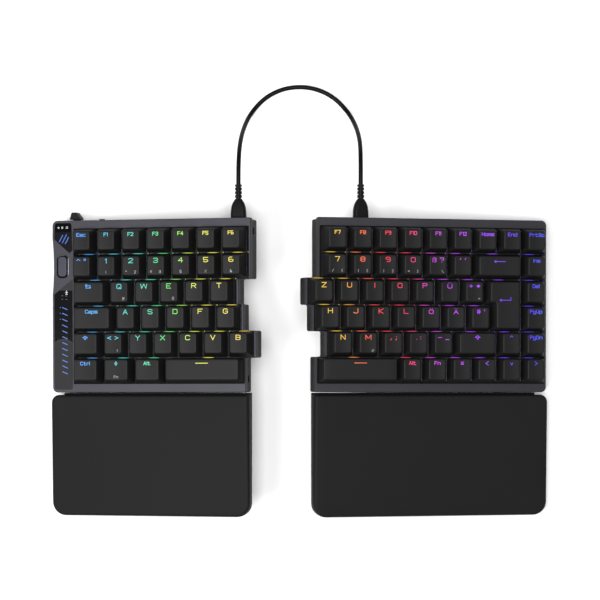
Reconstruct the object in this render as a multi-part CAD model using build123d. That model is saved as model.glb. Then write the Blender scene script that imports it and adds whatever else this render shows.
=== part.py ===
from build123d import *
import math
import os

# Ergonomic split keyboard: two tented halves with a palm rest each and a link cable behind.
# Everything is in millimetres. The finished model has +X to the right, +Y to the rear and
# +Z up, and its origin is at the centre of its footprint on the desk.
#
# Each half is modelled flat in its own key frame: u to the right, v to the rear, w up from
# the top of the frame, with v = 0 at the front of the case. Its underside, its feet and its
# leg are modelled in a base frame whose origin is the outer lower edge of that half.

# Layout of the keys
key_pitch = 19.05
key_gap = 0.95
tent_angle = 15.5
typing_angle = 1.0

# Case of a half
case_front_height = 14.0
front_bar = 6.2
rear_bar = 6.0
rim = 1.6
rim_width = 1.4
step_reach = 0.3
strap_drop = 3.3
strap_reach = 1.5
case_rear_inset = 1.2
case_bottom_bevel = 1.0
control_panel_width = 16.4
frame_height = 4.5
case_corner_radius = 1.3
outer_corner_radius = 3.8
panel_waist_depth = 1.0
case_wall = 1.8
lower_wall = 2.75
floor_thickness = 1.5
frame_edge_bevel = 0.4
edge_clearance = 0.8
halves_gap = 39.82

# Inside a half
plate_drop = 5.0
plate_thickness = 1.5
plate_clearance = 0.3
board_drop = 10.0
board_thickness = 1.6
board_clearance = 0.4
damper_clearance = 0.6
standoff_radius = 1.5

# Switches and stabilisers
switch_body = 13.9
switch_hole_clearance = 0.1
switch_flange = 15.6
switch_flange_height = 1.0
switch_top_width = 11.0
switch_top_rise = 6.6
switch_well_width = 7.2
switch_well_length = 6.4
stem_clearance = 0.3
stem_reach = 3.0
stabiliser_width = 6.8
stabiliser_depth = 13.0
stabiliser_rise = 3.5
stabiliser_well = 4.6
stabiliser_small_spread = 11.9
stabiliser_large_spread = 20.0

# Keycaps
cap_skirt_height = 0.8
cap_side_inset = 3.18
space_bar_side_inset = 2.25
cap_base_radius = 1.2
cap_top_radius = 1.8
cap_wall = 1.3
cap_roof = 1.5
cap_dish_depth = 0.45
cap_post_radius = 2.7
key_travel = 3.5

# Link socket and plugs
socket_from_outer = 140.8
socket_width = 9.0
socket_height = 3.3
socket_depth = 6.8
socket_inset = 0.4
socket_shell = 0.25
socket_port_clearance = 0.6
plug_shell_width = 8.2
plug_shell_height = 2.5
plug_shell_reach = 6.0
overmould_radius = 2.2
relief_radius = 2.55
relief_length = 10.8
relief_rib_count = 4
relief_groove_width = 0.8
relief_groove_depth = 0.7
cable_radius = 1.65

# Case screws
screw_shank_radius = 1.0
screw_hole_clearance = 0.1
screw_head_radius = 1.9
screw_head_height = 1.2
screw_head_clearance = 0.3
screw_boss_radius = 3.1
screw_seat_drop = 11.6
screw_bite = 2.8
screw_board_clearance = 0.4

# Controls on the left half
window_thickness = 1.5
window_clearance = 0.1
button_width = 6.7
button_length = 14.8
button_corner_radius = 2.2
button_centre_inset = 7.9
button_centre_v = 92.7
button_clearance = 0.35
button_proud = 0.9
button_depth = 4.1
button_crown = 0.5
panel_edge_inset = 1.5
panel_side_inset = 2.1
panel_key_inset = 0.9
window_bevel = 2.3
window_rear_inset = 1.9
window_corner_radius = 1.5
window_step_v = 112.9
window_corner_v = 102.6
window_tip_v = 104.4
strip_slant_rear_v = 83.0
strip_slant_front_v = 72.2
strip_front_v = 2.2
strip_corner_radius = 1.6

# Lever and slide switch at the rear of the left half
lever_hub_u = -0.4
lever_hub_inset = 4.6
lever_hub_radius = 2.3
lever_pin_radius = 1.2
lever_pin_clearance = 0.08
lever_neck_width = 3.2
lever_root_width = 8.9
lever_tip_width = 3.6
lever_tip_shift = 1.2
lever_wall_clearance = 0.35
lever_reach = 6.2
lever_top_drop = 5.6
lever_height = 7.2
lever_swing = 6.0
lever_slot_clearance = 0.5
mode_switch_u = 19.5
mode_knob_width = 3.6
mode_knob_height = 1.6
mode_knob_reach = 1.1
mode_travel = 1.5
mode_slot_clearance = 0.35
mode_housing_width = 11.0
mode_housing_depth = 3.0
mode_housing_height = 3.2

# Recesses in the left half's inner wall
recess_length = 5.0
recess_height = 3.8
recess_depth = 0.8
recess_end_inset = 9.6
recess_top = -5.1

# Battery and chips
battery_width = 58.0
battery_depth = 28.0
battery_thickness = 2.2
battery_from_rear = 9.0
battery_u = 30.0
chip_width = 9.0
chip_height = 0.9

# Feet and fold-out legs
foot_inset = 4.0
foot_width = 11.0
foot_length = 26.0
foot_end_inset = 12.0
pad_radius = 4.5
pad_height = 5.6
leg_hinge_drop = 2.3
leg_barrel_radius = 1.9
leg_thickness = 3.2
leg_pin_radius = 1.4
leg_pin_clearance = 0.08
leg_pin_reach = 4.2
leg_side_clearance = 0.4
leg_ear_width = 5.0
leg_ear_radius = 2.8
leg_pad_depth = 4.2
leg_pad_width = 4.2
leg_stop_width = 3.0
leg_stop_height = 4.6
leg_stop_clearance = 0.3
case_leg_hinge = 118.0
case_leg_front = 24.0
case_leg_rear_inset = 24.0
palm_leg_hinge = 114.0
palm_leg_inset = 19.0

# Palm rests
palm_gap = 1.8
palm_depth = 88.6
palm_rear_height = 12.4
palm_front_height = 8.8
palm_base_height = 4.0
palm_base_step = 0.5
palm_outer_flare = 2.2
palm_front_radius = 10.0
palm_outer_rear_radius = 5.6
palm_inner_rear_radius = 1.6
palm_ledge_inset = 7.5
palm_edge_round = 1.4
magnet_width = 16.0
magnet_height = 3.0
magnet_depth = 3.0
magnet_wall = 0.8
magnet_spread = 96.0
magnet_seat_gap = 0.3

# One overrun serves every cut.
overrun = 40.0

# The six rows from the front to the rear: height of the cap and the inset of its top.
row_names = ["bottom", "lower", "home", "upper", "number", "function"]
cap_heights = dict(bottom=8.6, lower=8.2, home=8.0, upper=8.0, number=9.4, function=9.6)
cap_front_insets = dict(bottom=2.9, lower=3.15, home=2.5, upper=2.7, number=3.0, function=2.95)
cap_rear_insets = dict(bottom=1.05, lower=1.2, home=1.25, upper=1.7, number=2.05, function=2.2)

# Where each row of a half starts and ends, as shares of the key pitch.
left_row_end_shares = dict(bottom=6.875, lower=7.25, home=6.75, upper=6.5, number=7, function=7)
right_row_start_shares = dict(bottom=-0.125, lower=0.25, home=-0.25, upper=-0.5, number=0, function=0)
right_outer_share = 9

# How far the case stands out past the last cell of each row, on the inner side of its half.
left_rim_reaches = dict(bottom=0.8, lower=1.5, home=1.6, upper=2.7, number=2.6, function=2.6)
right_rim_reaches = dict(bottom=1.55, lower=1.2, home=1.7, upper=1.95, number=2.55, function=2.55)

# How far a palm rest's inner edge lies past the last cell of the bottom row.
palm_inner_reaches = dict(left=1.85, right=1.2)

# The plug's overmould from the case to its relief: distance, width and height of each section.
overmould_sections = [(0, 11.6, 6.4), (5.6, 11.1, 6.3), (9.6, 10.1, 6.0), (12.4, 8.1, 5.5), (14.8, 4.9, 4.9)]
overmould_length = overmould_sections[-1][0]

# Each group of keys: its row, then the left edge and the width of each key as shares of the pitch.
left_key_shares = {
    "left_function_row": [("function", start, 1) for start in range(7)],
    "left_number_row": [("number", start, 1) for start in range(7)],
    "left_tab_key": [("upper", 0, 1.5)],
    "left_upper_row": [("upper", 1.5 + step, 1) for step in range(5)],
    "left_caps_key": [("home", 0, 1.75)],
    "left_home_row": [("home", 1.75 + step, 1) for step in range(5)],
    "left_shift_key": [("lower", 0, 1.25)],
    "left_lower_row": [("lower", 1.25 + step, 1) for step in range(6)],
    "left_modifier_keys": [("bottom", 0, 1.25), ("bottom", 1.25, 1.25), ("bottom", 2.5, 1.25)],
    "left_space_bar": [("bottom", 3.75, 3.125)],
}
right_key_shares = {
    "right_function_row": [("function", start, 1) for start in range(9)],
    "right_number_row": [("number", start, 1) for start in range(6)],
    "right_backspace_key": [("number", 6, 2)],
    "right_upper_row": [("upper", -0.5 + step, 1) for step in range(7)],
    "right_home_row": [("home", -0.25 + step, 1) for step in range(7)],
    "right_lower_row": [("lower", 0.25 + step, 1) for step in range(5)],
    "right_shift_key": [("lower", 5.25, 1.75)],
    "right_space_bar": [("bottom", -0.125, 3.125)],
    "right_modifier_keys": [("bottom", start, 1) for start in (3, 4, 5)],
    "right_arrow_keys": [("lower", 7, 1), ("bottom", 6, 1), ("bottom", 7, 1), ("bottom", 8, 1)],
    "right_navigation_keys": [("number", 8, 1), ("upper", 8, 1), ("home", 8, 1), ("lower", 8, 1)],
}
enter_upper_share = 6.5
enter_lower_share = 6.75
enter_end_share = 8
wide_key_share = 2
stabiliser_switch_share = 3

# Case screws along the front and rear bars, as shares of the bar from its left end.
left_screw_shares = dict(front=[0.08, 0.50, 0.94], rear=[0.035, 0.50, 0.84])
right_screw_shares = dict(front=[0.05, 0.50, 0.94], rear=[0.06, 0.50, 0.94])

# The link cable between the two reliefs. Each point is given from its own relief's end: how far
# towards the middle, how far to the rear, and its height over the desk as a share of that end's.
left_cable_route = [
    (-0.08, 16.9, 1.0063),
    (1.1, 33.8, 0.686),
    (4.1, 46.8, 0.2375),
    (9.1, 57.6, 0),
    (19.5, 68.8, 0),
    (34.9, 75.8, 0),
]
right_cable_route = [
    (-0.08, 16.9, 1.0063),
    (0.0, 33.5, 0.686),
    (2.9, 46.9, 0.2375),
    (8.8, 58.3, 0),
    (20.0, 69.6, 0),
    (35.9, 76.1, 0),
]
cable_lift = 0.1
cable_bend_share = 0.45

# Sizes that follow from the ones above
case_depth = front_bar + len(row_names) * key_pitch + rear_bar
case_rear = case_depth - case_rear_inset
right_outer_u = right_outer_share * key_pitch + rim
left_outer_u = -control_panel_width
plate_bottom = -plate_drop - plate_thickness
board_bottom = -board_drop - board_thickness
switch_top = -plate_drop + switch_top_rise
post_bottom = switch_top + stem_clearance
well_floor = -stem_reach - key_travel - stem_clearance
socket_w = -board_drop + socket_height / 2
left_width = control_panel_width + left_row_end_shares["number"] * key_pitch + left_rim_reaches["number"]
right_width = right_rim_reaches["number"] + right_outer_share * key_pitch + rim
halves_spread = (left_width + right_width) * math.cos(math.radians(tent_angle)) + halves_gap


def box_between(low, high):
    """A box from its lowest corner to its highest one."""
    size = [b - a for a, b in zip(low, high)]
    centre = [(a + b) / 2 for a, b in zip(low, high)]
    return Pos(*centre) * Box(*size)


def rectangle_between(u0, u1, v0, v1):
    """A flat rectangle from its corners."""
    return Pos((u0 + u1) / 2, (v0 + v1) / 2) * Rectangle(u1 - u0, v1 - v0)


def slab(face, bottom, top):
    """A face carried straight up from one height to another."""
    return Pos(0, 0, bottom) * extrude(face, top - bottom)


def post(u, v, radius, bottom, top):
    """An upright cylinder between two heights."""
    return Pos(u, v, (bottom + top) / 2) * Cylinder(radius, top - bottom)


def row_front(row):
    return front_bar + row_names.index(row) * key_pitch


def row_span(side, row):
    """Left and right end of a row's cells."""
    if side == "left":
        return 0.0, left_row_end_shares[row] * key_pitch
    return right_row_start_shares[row] * key_pitch, right_outer_share * key_pitch


def rim_reach(side, row):
    """How far the case stands out past a row's last cell on the inner side."""
    return left_rim_reaches[row] if side == "left" else right_rim_reaches[row]


def stepped_face(side, reaches, ends, outer_reach, step):
    """The rows' cells as one face: the inner edge moved out row by row, the others by one value."""
    face = Sketch()
    for row in row_names:
        start, end = row_span(side, row)
        front = row_front(row) - (ends[0] if row == row_names[0] else step)
        rear = row_front(row) + key_pitch + (ends[1] if row == row_names[-1] else step)
        if side == "left":
            face += rectangle_between(start - outer_reach, end + reaches[row], front, rear)
        else:
            face += rectangle_between(start - reaches[row], end + outer_reach, front, rear)
    return face


def key_field(side):
    none = {row: 0 for row in row_names}
    return stepped_face(side, none, (0, 0), 0, 0)


def frame_opening(side):
    """The frame's upper opening: open at the steps, and as wide as the rim beside it allows."""
    reaches = {row: max(rim_reach(side, row) - rim_width, 0) for row in row_names}
    return stepped_face(side, reaches, (0, 0), 0, 2 * step_reach)


def outline_to(side, rear_reach):
    """The outer edge of a half seen from above, with its rear edge at a distance from the last row."""
    reaches = {row: rim_reach(side, row) for row in row_names}
    outer = control_panel_width if side == "left" else rim
    face = stepped_face(side, reaches, (front_bar, rear_reach), outer, step_reach)
    across = 0 if side == "left" else -1
    if side == "left":
        face -= panel_waist()
    for end in (0, -1):
        corners = face.vertices().sort_by(Axis.Y)
        pair = corners[:2] if end == 0 else corners[-2:]
        face = fillet(pair.sort_by(Axis.X)[across], outer_corner_radius)
    if side == "left":
        plain = [v for v in face.vertices() if v.X > left_outer_u + outer_corner_radius + rim]
    else:
        plain = [v for v in face.vertices() if v.X < right_outer_u - outer_corner_radius - rim]
    return fillet(plain, case_corner_radius)


def frame_outline(side):
    return outline_to(side, rear_bar)


def case_outline(side, inset=0.0):
    """The tray's outer edge, which lies inside the frame's at the rear, or that edge moved in."""
    face = outline_to(side, rear_bar - case_rear_inset)
    if inset:
        face = offset(face, -inset, kind=Kind.INTERSECTION)
    return face


def panel_waist():
    """The shallow hollow in the outer edge beside the push button."""
    half_length = (window_step_v - strip_slant_front_v) / 2
    radius = (half_length ** 2 + panel_waist_depth ** 2) / (2 * panel_waist_depth)
    middle = (window_step_v + strip_slant_front_v) / 2
    return Pos(left_outer_u + panel_waist_depth - radius, middle) * Circle(radius)


def below_case(rise=0.0):
    """All space under a half's sloping underside, or under that plane raised."""
    plane = Pos(0, 0, rise - case_front_height) * Rot(X=-typing_angle)
    reach = right_outer_u + case_depth + overrun
    return plane * Pos(0, 0, -overrun / 2) * Box(2 * reach, 2 * reach, overrun)


def every_key(side):
    """Row, left edge and width of each key of a half, the tall enter key left out."""
    shares = left_key_shares if side == "left" else right_key_shares
    return [key for group in shares.values() for key in group]


def key_centre(row, start, width):
    return (start + width / 2) * key_pitch, row_front(row) + key_pitch / 2


def enter_centre():
    """Centre of the tall enter key's switch, on the line between its two rows."""
    return (enter_lower_share + enter_end_share) / 2 * key_pitch, row_front("upper")


def switch_centres(side):
    centres = [key_centre(*key) for key in every_key(side)]
    if side == "right":
        centres.append(enter_centre())
    return centres


def stabiliser_centres(side):
    """Places of the stabilisers beside the switches of the wide keys."""
    places = []
    for row, start, width in every_key(side):
        u, v = key_centre(row, start, width)
        if width >= stabiliser_switch_share:
            places += [(u - stabiliser_large_spread, v), (u + stabiliser_large_spread, v)]
        elif width >= wide_key_share:
            places += [(u - stabiliser_small_spread, v), (u + stabiliser_small_spread, v)]
    return places


def screw_places(side):
    """Centres of the case screws in the front and the rear bar."""
    shares = left_screw_shares if side == "left" else right_screw_shares
    bars = dict(front=("bottom", screw_boss_radius), rear=("function", case_rear - screw_boss_radius))
    places = []
    for bar, (row, v) in bars.items():
        start, end = row_span(side, row)
        low = left_outer_u if side == "left" else start - rim_reach(side, row)
        high = end + rim_reach(side, row) if side == "left" else right_outer_u
        places += [(low + share * (high - low), v) for share in shares[bar]]
    return places


def standoff_places(side):
    """Pegs under the board, on the lines between the rows, clear of the battery."""
    lines = dict(home=(0.25, 0.62, 0.95), upper=(0.25, 0.62, 0.95), lower=(0.04, 0.42, 0.90))
    places = []
    for row, peg_shares in lines.items():
        start, end = row_span(side, row)
        places += [(start + share * (end - start), row_front(row)) for share in peg_shares]
    return places


def socket_u(side):
    if side == "left":
        return left_outer_u + socket_from_outer
    return right_outer_u - socket_from_outer


def holes_for_switches(side, clearance):
    """The openings that the switches and stabilisers pass through."""
    holes = Sketch()
    for u, v in switch_centres(side):
        holes += Pos(u, v) * Rectangle(switch_body + 2 * clearance, switch_body + 2 * clearance)
    for u, v in stabiliser_centres(side):
        width = stabiliser_width + 2 * clearance
        holes += Pos(u, v) * Rectangle(width, stabiliser_depth + 2 * clearance)
    return holes


def holes_for_screws(side):
    holes = Sketch()
    for u, v in screw_places(side):
        holes += Pos(u, v) * Circle(screw_boss_radius + screw_board_clearance)
    return holes


def lever_notch():
    """Room in the plate and the board for the rear lever's hub."""
    half = lever_hub_radius + lever_slot_clearance + lever_pin_radius
    front = case_depth - lever_hub_inset - lever_hub_radius - lever_slot_clearance
    return rectangle_between(lever_hub_u - half, lever_hub_u + half, front, case_depth)


# Fixed pieces of a half


def case_block(side):
    """The tray's outer shape: upright walls, the sloping underside and its bevelled edge."""
    block = slab(case_outline(side), -case_front_height - overrun, -frame_height) - below_case()
    under_edges = block.faces().sort_by(Axis.Z)[0].outer_wire().edges()
    return chamfer(under_edges, case_bottom_bevel)


def bottom_case(side):
    """An open tray with a ledge for the plate, bosses for the screws and ports at the rear."""
    block = case_block(side)
    depth = case_front_height + overrun
    tray = block
    tray -= slab(case_outline(side, case_wall), plate_bottom, 0)
    lower = slab(case_outline(side, lower_wall), -depth, plate_bottom)
    tray -= lower - below_case(floor_thickness)
    for u, v in screw_places(side):
        boss = post(u, v, screw_boss_radius, -depth, -frame_height)
        tray += boss & block
    for u, v in standoff_places(side):
        tray += post(u, v, standoff_radius, -depth, board_bottom) & block
    for u, v in screw_places(side):
        tray -= post(u, v, screw_shank_radius + screw_hole_clearance, -depth, 0)
        head = screw_head_radius + screw_head_clearance
        tray -= post(u, v, head, -depth, -screw_seat_drop)
    tray -= rear_port(side)
    tray -= plate_tabs(side, plate_clearance)
    if side == "left":
        tray -= lever_slot()
        tray -= mode_slot()
        tray -= wall_recesses()
        hub_v = case_depth - lever_hub_inset
        lever_bottom = -lever_top_drop - lever_height
        pin_top = -frame_height - stem_clearance
        tray += post(lever_hub_u, hub_v, lever_hub_radius, -depth, lever_bottom - stem_clearance)
        tray += post(lever_hub_u, hub_v, lever_pin_radius, -depth, pin_top)
    return tray - below_case()


def wall_recesses():
    """Two shallow recesses in the left half's inner wall, near its front and its rear."""
    recesses = Part()
    for row, v in (("bottom", recess_end_inset), ("function", case_depth - recess_end_inset)):
        wall = row_span("left", row)[1] + rim_reach("left", row)
        low = (wall - recess_depth, v - recess_length / 2, recess_top - recess_height)
        recesses += box_between(low, (wall + overrun, v + recess_length / 2, recess_top))
    return recesses


def rear_port(side):
    """The hole in the rear wall for the link plug's metal shell."""
    width = socket_width + socket_port_clearance
    height = socket_height + socket_port_clearance
    return Pos(socket_u(side), case_rear, socket_w) * Box(width, 2 * lower_wall, height)


def lever_slot():
    top = -lever_top_drop + lever_slot_clearance
    bottom = -lever_top_drop - lever_height - lever_slot_clearance
    half = lever_hub_radius + lever_slot_clearance
    front = case_depth - lever_hub_inset - half
    low = (lever_hub_u - half, front, bottom)
    return box_between(low, (lever_hub_u + half, case_depth + overrun, top))


def mode_slot():
    width = mode_knob_width + 2 * (mode_travel + mode_slot_clearance)
    height = mode_knob_height + 2 * mode_slot_clearance
    return Pos(mode_switch_u, case_rear, mode_switch_w()) * Box(width, 2 * lower_wall, height)


def mode_switch_w():
    return -board_drop + mode_housing_height / 2


def top_frame(side):
    """The metal frame round the keys, with pockets for the controls of the left half."""
    ring = slab(frame_outline(side), -frame_height, 0)
    top_edges = ring.faces().sort_by(Axis.Z)[-1].outer_wire().edges()
    ring = chamfer(top_edges, frame_edge_bevel)
    ring -= slab(frame_opening(side), -strap_drop, overrun)
    ring -= slab(offset(key_field(side), -strap_reach, kind=Kind.INTERSECTION), -overrun, overrun)
    for u, v in screw_places(side):
        ring -= post(u, v, screw_shank_radius, -frame_height, -frame_height + screw_bite)
    if side == "left":
        pocket = window_thickness
        ring -= slab(offset(window_face(), window_clearance), -pocket, overrun)
        ring -= slab(offset(strip_face(), window_clearance), -pocket, overrun)
        ring -= slab(button_face(button_clearance), -overrun, overrun)
    return ring


def button_face(clearance=0.0):
    """The push button's outline, or its well's."""
    width = button_width + 2 * clearance
    length = button_length + 2 * clearance
    face = RectangleRounded(width, length, button_corner_radius + clearance)
    return Pos(left_outer_u + button_centre_inset, button_centre_v) * face


def window_face():
    """The status window: a slanted outline with a cut corner beside the push button."""
    outer = left_outer_u + panel_side_inset
    key_side = -panel_key_inset
    rear = case_depth - window_rear_inset
    points = [
        (outer, rear),
        (outer - panel_edge_inset + panel_key_inset, window_step_v),
        (key_side - window_bevel, window_corner_v),
        (key_side, window_tip_v),
        (key_side - panel_edge_inset / 2, rear),
    ]
    face = make_face(Polyline(*points, close=True))
    return fillet(face.vertices().sort_by(Axis.Y)[-2:], window_corner_radius)


def strip_face():
    """The touch strip: a long panel whose rear edge slants past the push button."""
    outer = left_outer_u + panel_edge_inset
    key_side = -panel_key_inset
    points = [
        (key_side, strip_slant_rear_v),
        (outer, strip_slant_front_v),
        (outer, strip_front_v),
        (key_side, strip_front_v),
    ]
    face = make_face(Polyline(*points, close=True))
    return fillet(face.vertices().sort_by(Axis.Y)[:2], strip_corner_radius)


def status_window():
    return slab(window_face(), -window_thickness, 0)


def touch_strip():
    return slab(strip_face(), -window_thickness, 0)


def plate_tabs(side, clearance=0.0):
    """Steel tabs behind the front wall, which the palm rest's magnets hold on to."""
    start, end = row_span(side, "bottom")
    middle = (start + end) / 2
    half = magnet_width / 2 + clearance
    front = case_wall + plate_clearance - clearance
    rear = front + plate_thickness + 2 * clearance
    tabs = Part()
    for u in (middle - magnet_spread / 2, middle + magnet_spread / 2):
        low = (u - half, front, -board_drop - clearance)
        tabs += box_between(low, (u + half, rear, plate_bottom))
    return tabs


def switch_plate(side):
    """The steel plate that the switches clip into."""
    face = case_outline(side, case_wall + plate_clearance)
    face -= holes_for_switches(side, switch_hole_clearance / 2)
    face -= holes_for_screws(side)
    if side == "left":
        face -= lever_notch()
    return slab(face, plate_bottom, -plate_drop) + plate_tabs(side)


def circuit_board(side):
    """The board under the switches, with its controller and, on the left, the mode switch."""
    face = case_outline(side, lower_wall + board_clearance)
    face -= holes_for_screws(side)
    if side == "left":
        face -= lever_notch()
    board = slab(face, board_bottom, -board_drop)
    start, end = row_span(side, "home")
    chip_u = (start + end) / 2
    chip_v = row_front("home") + key_pitch / 2
    chip = Pos(chip_u, chip_v, board_bottom - chip_height / 2)
    board += chip * Box(chip_width, chip_width, chip_height)
    if side == "left":
        rear = case_rear - lower_wall - board_clearance
        half = mode_housing_width / 2
        low = (mode_switch_u - half, rear - mode_housing_depth, -board_drop)
        high = (mode_switch_u + half, rear, -board_drop + mode_housing_height)
        board += box_between(low, high)
    return board


def damper(side):
    """The silicone sheet that fills the space between plate and board, without loose slivers."""
    face = case_outline(side, lower_wall + damper_clearance)
    reach = right_outer_u + overrun
    rear = case_rear - socket_inset - socket_depth - damper_clearance
    face -= rectangle_between(-reach, reach, rear, case_depth)
    face -= holes_for_switches(side, damper_clearance)
    face -= holes_for_screws(side)
    tab_room = plate_clearance + plate_thickness + damper_clearance
    face -= rectangle_between(-reach, reach, 0, case_wall + tab_room)
    sheets = slab(face, -board_drop, plate_bottom).solids()
    return sheets.sort_by(SortBy.VOLUME)[-1]


def switch_housing():
    """One switch housing at the origin: a clipped body, a flange and a tapered top with a well."""
    body = slab(Rectangle(switch_body, switch_body), -board_drop, -plate_drop)
    flange_top = -plate_drop + switch_flange_height
    body += slab(Rectangle(switch_flange, switch_flange), -plate_drop, flange_top)
    foot = Plane.XY.offset(flange_top) * Rectangle(switch_body, switch_body)
    crown = Plane.XY.offset(switch_top) * Rectangle(switch_top_width, switch_top_width)
    body += loft([foot.face(), crown.face()])
    well = Rectangle(switch_well_width, switch_well_length)
    return body - slab(well, well_floor, overrun)


def stabiliser_housing():
    """One stabiliser housing at the origin, open at the top for the cap's guide post."""
    face = Rectangle(stabiliser_width, stabiliser_depth)
    body = slab(face, -board_drop, -plate_drop + stabiliser_rise)
    well = Rectangle(stabiliser_well, stabiliser_well)
    return body - slab(well, well_floor, overrun)


def switches(side):
    housing = switch_housing()
    stabiliser = stabiliser_housing()
    pieces = [Pos(u, v) * housing for u, v in switch_centres(side)]
    return pieces + [Pos(u, v) * stabiliser for u, v in stabiliser_centres(side)]


def link_socket(side):
    """The metal socket on the board: a rounded sleeve with a closed inner end."""
    v_middle = case_rear - socket_inset - socket_depth / 2
    sleeve = Box(socket_width, socket_depth, socket_height)
    sleeve = fillet(sleeve.edges().filter_by(Axis.Y), socket_height / 2 - socket_shell)
    inside_width = socket_width - 2 * socket_shell
    inside_height = socket_height - 2 * socket_shell
    cavity = Box(inside_width, socket_depth, inside_height)
    cavity = fillet(cavity.edges().filter_by(Axis.Y), inside_height / 2 - socket_shell)
    return Pos(socket_u(side), v_middle, socket_w) * (sleeve - Pos(0, socket_shell, 0) * cavity)


def case_screws(side):
    """The screws that clamp the frame, the plate and the tray together from below."""
    pieces = []
    for u, v in screw_places(side):
        shank = post(u, v, screw_shank_radius, -screw_seat_drop, -frame_height + screw_bite)
        head_bottom = -screw_seat_drop - screw_head_height
        pieces.append(shank + post(u, v, screw_head_radius, head_bottom, -screw_seat_drop))
    return pieces


def battery():
    """A flat cell lying on the floor of the left half's tray."""
    floor = Pos(0, 0, floor_thickness - case_front_height) * Rot(X=-typing_angle)
    v = case_depth - lower_wall - battery_from_rear - battery_depth / 2
    cell = Box(battery_width, battery_depth, battery_thickness)
    cell = fillet(cell.edges().filter_by(Axis.Y), battery_thickness / 2 - window_clearance)
    return floor * Pos(battery_u + battery_width / 2, v, battery_thickness / 2) * cell


# Moving controls of the left half


def function_button():
    """The push button: a tall rounded key with a softened top edge."""
    body = slab(button_face(), -button_depth, button_proud)
    top_edges = body.faces().sort_by(Axis.Z)[-1].edges()
    return fillet(top_edges, button_crown)


def rear_lever():
    """The small paddle behind the left half, on a hub that turns about an upright pin."""
    hub_v = case_depth - lever_hub_inset
    bottom = -lever_top_drop - lever_height
    top = -lever_top_drop
    swing = lever_root_width / 2 * math.sin(math.radians(lever_swing))
    root_v = case_depth + swing + lever_wall_clearance
    tip_v = case_depth + lever_reach
    half_root = lever_root_width / 2
    half_tip = lever_tip_width / 2
    paddle = make_face(Polyline(
        (lever_hub_u - half_root, root_v),
        (lever_hub_u + half_root, root_v),
        (lever_hub_u - lever_tip_shift + half_tip, tip_v),
        (lever_hub_u - lever_tip_shift - half_tip, tip_v),
        close=True,
    ))
    paddle = fillet(paddle.vertices(), case_corner_radius / 2)
    neck = rectangle_between(
        lever_hub_u - lever_neck_width / 2, lever_hub_u + lever_neck_width / 2, hub_v, root_v + rim)
    lever = slab(paddle + neck, bottom, top)
    lever += post(lever_hub_u, hub_v, lever_hub_radius, bottom, top)
    return lever - post(lever_hub_u, hub_v, lever_pin_radius + lever_pin_clearance, bottom, top)


def mode_switch():
    """The slide switch's knob, whose tip shows behind the left half."""
    front = case_rear - lower_wall - board_clearance + stem_clearance
    half = mode_knob_width / 2
    w = mode_switch_w()
    low = (mode_switch_u - half, front, w - mode_knob_height / 2)
    high = (mode_switch_u + half, case_depth + mode_knob_reach, w + mode_knob_height / 2)
    return box_between(low, high)


# Keycaps


def cap_block(base_half, top_half, shift, radii, heights):
    """A tapered block with rounded corners between two heights."""
    base = Plane.XY.offset(heights[0]) * RectangleRounded(*[2 * h for h in base_half], radii[0])
    top_plane = Plane.XY.offset(heights[1]) * Pos(0, shift)
    top = top_plane * RectangleRounded(*[2 * h for h in top_half], radii[1])
    return loft([base.face(), top.face()])


def cap_sizes(row, width, side_inset):
    """Half sizes of a cap's base and top, and how far its top lies to the rear."""
    base = ((width * key_pitch - key_gap) / 2, (key_pitch - key_gap) / 2)
    top_depth = key_pitch - cap_front_insets[row] - cap_rear_insets[row]
    top = (width * key_pitch / 2 - side_inset, top_depth / 2)
    return base, top, (cap_front_insets[row] - cap_rear_insets[row]) / 2


def dish(half_width, top):
    """The cylinder that hollows the top of a cap."""
    radius = (half_width ** 2 + cap_dish_depth ** 2) / (2 * cap_dish_depth)
    return Pos(0, 0, top + radius - cap_dish_depth) * Rot(X=90) * Cylinder(radius, overrun)


def stem_below_post():
    """The switch's moving stem, under the cap's post."""
    width = switch_well_width - 2 * stem_clearance
    depth = switch_well_length - 2 * stem_clearance
    return slab(Rectangle(width, depth), -stem_reach, post_bottom)


def keycap(row, width):
    """A hollow cap with its post, and the stem below it, about the centre of its cell."""
    long_bar = width >= stabiliser_switch_share
    side_inset = space_bar_side_inset if long_bar else cap_side_inset
    base, top, shift = cap_sizes(row, width, side_inset)
    high = cap_skirt_height + cap_heights[row]
    radii = (cap_base_radius, cap_top_radius)
    cap = cap_block(base, top, shift, radii, (cap_skirt_height, high))
    if not long_bar:
        cap -= dish(top[0], high)
    inner_base = [half - cap_wall for half in base]
    inner_top = [half - cap_wall for half in top]
    inner_radii = (cap_base_radius / 2, cap_top_radius / 2)
    ceiling = high - cap_roof
    cap -= cap_block(inner_base, inner_top, shift, inner_radii, (cap_skirt_height, ceiling))
    cap += post(0, 0, cap_post_radius, post_bottom, ceiling + cap_roof / 4)
    cap += guide_posts(width, ceiling + cap_roof / 4)
    return [cap, stem_below_post()]


def guide_posts(width, top):
    """The posts of a wide cap that run in the stabilisers."""
    posts = Part()
    if width < wide_key_share:
        return posts
    spread = stabiliser_small_spread
    if width >= stabiliser_switch_share:
        spread = stabiliser_large_spread
    side = stabiliser_well - 2 * stem_clearance
    for u in (-spread, spread):
        posts += Pos(u, 0) * slab(Rectangle(side, side), -stem_reach, top)
    return posts


def enter_face(side_inset, front_inset, rear_inset, radius):
    """The stepped outline of the tall enter key: wider in its rear row."""
    left_upper = enter_upper_share * key_pitch + side_inset
    left_lower = enter_lower_share * key_pitch + side_inset
    right = enter_end_share * key_pitch - side_inset
    front = row_front("home") + front_inset
    step = row_front("upper") + front_inset
    rear = row_front("upper") + key_pitch - rear_inset
    face = make_face(Polyline(
        (left_upper, rear), (left_upper, step), (left_lower, step),
        (left_lower, front), (right, front), (right, rear), close=True,
    ))
    return fillet(face.vertices(), radius)


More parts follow.
